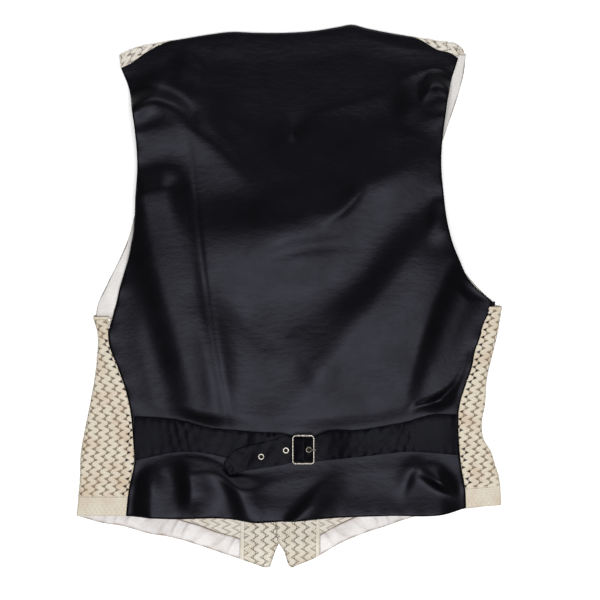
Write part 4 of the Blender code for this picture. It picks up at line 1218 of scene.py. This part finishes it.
# Cloth of each front: piece, builder, material, slot, wall, solid that it replaces
FRONT_CLOTH = (
    ("lace_wrap", build_lace_wrap, cream_braid, "lace_cream", 0.55, None),
    ("lace_hem_band", build_hem_band, hem_braid, "lace_cream", 0.6, None),
    # Painted shade seen through the wrap's holes
    ("hole_shade_sheet", build_hole_shade, hole_shade_net, "lace_cream", 0.2, None),
    ("seam_allowance", build_seam_allowance, black_satin, "satin_black", 0.3, None),
    ("underarm_edge", build_underarm_edge, cream_braid, "lace_cream", 0.4, None),
    ("lace_front", build_lace_floor, inner_braid, "lace_cream", 0.55, "front_"),
    ("facing_braid", build_facing_braid, facing_braid, "lace_facing", 0.5, None),
    ("facing_edging", build_facing_strip, facing_braid, "lace_facing", 0.5, None),
    ("facing_upper", build_facing_upper, facing_braid, "lace_facing", 0.6, "front_facing_"),
    ("hem_facing_satin", build_hem_facing, hem_satin, "satin_white", 0.4, "hem_facing_"),
    ("armhole_facing_satin", build_arm_facing, white_satin, "satin_white", 0.4, "armhole_facing_"),
)
for side in ("left", "right"):
    for piece, build, material, slot, wall, solid in FRONT_CLOTH:
        replaced = [solid + side] if solid else []
        add_piece(piece + "_" + side, build(side), material, wall, replaced)

back = add_piece("satin_back", build_back(), black_satin, 0.7, ["back"])

for node, name, flat, area in (
    ("belt_left", "half_belt_left", (0.21, 0.05), 0.0075),
    ("belt_right", "half_belt_right", (0.26, 0.046), 0.0078),
):
    belt = add_piece(name, build_belt(node, name), belt_satin, 0, [node])

add_piece("buckle_wire", build_buckle(), silver_plate, 0, ["buckle_frame"])
rounded_copy("buckle_prong", "prong_wire", silver_plate)
for number in (1, 2, 3):
    rounded_copy("eyelet_" + str(number), "eyelet_ring_" + str(number), eyelet_plate)
for number in range(1, 6):
    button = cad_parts["button_" + str(number)]
    button.data.materials.clear()
    button.data.materials.append(resin)


# Studio: pale floor, soft lights and the camera straight above
def soft_light(name, place, size, power):
    """Soft panel of light that faces the garment's middle."""
    lamp = bpy.data.lights.new(name, "AREA")
    lamp.shape = "RECTANGLE"
    lamp.size, lamp.size_y = size
    lamp.energy = power
    obj = new_object(name, lamp)
    obj.location = place
    obj.rotation_euler = (-Vector(place)).to_track_quat("-Z", "Y").to_euler()


floor_bm = bmesh.new()
bmesh.ops.create_grid(floor_bm, x_segments=1, y_segments=1, size=3.0)
floor_mesh = new_mesh("studio_floor", floor_bm)
floor = new_object("studio_floor", floor_mesh)
pale, pale_tree, pale_shader = new_material("studio_floor", (0.93, 0.93, 0.93), 0.9)
set_inputs(pale_tree, pale_shader, {"Emission Color": (1, 1, 1, 1), "Emission Strength": 0.3})
floor_mesh.materials.append(pale)

soft_light("key", (0.02, -0.41, 1.42), (1.0, 0.77), 21)
soft_light("fill", (0.3, 1.5, 1.0), (1.0, 0.6), 11)
world = bpy.data.worlds.new("studio")
bpy.context.scene.world = world
world.use_nodes = True
set_inputs(world.node_tree, world.node_tree.nodes["Background"], {"Color": (1, 1, 1, 1), "Strength": 0.04})

lens = bpy.data.cameras.new("camera")
lens.lens = 85
lens.sensor_width = 36
camera = new_object("camera", lens)
camera.location = (0.0121, -0.0044, 1.563)
bpy.context.scene.camera = camera
bpy.context.scene.view_settings.view_transform = "Standard"

bpy.context.view_layer.update()
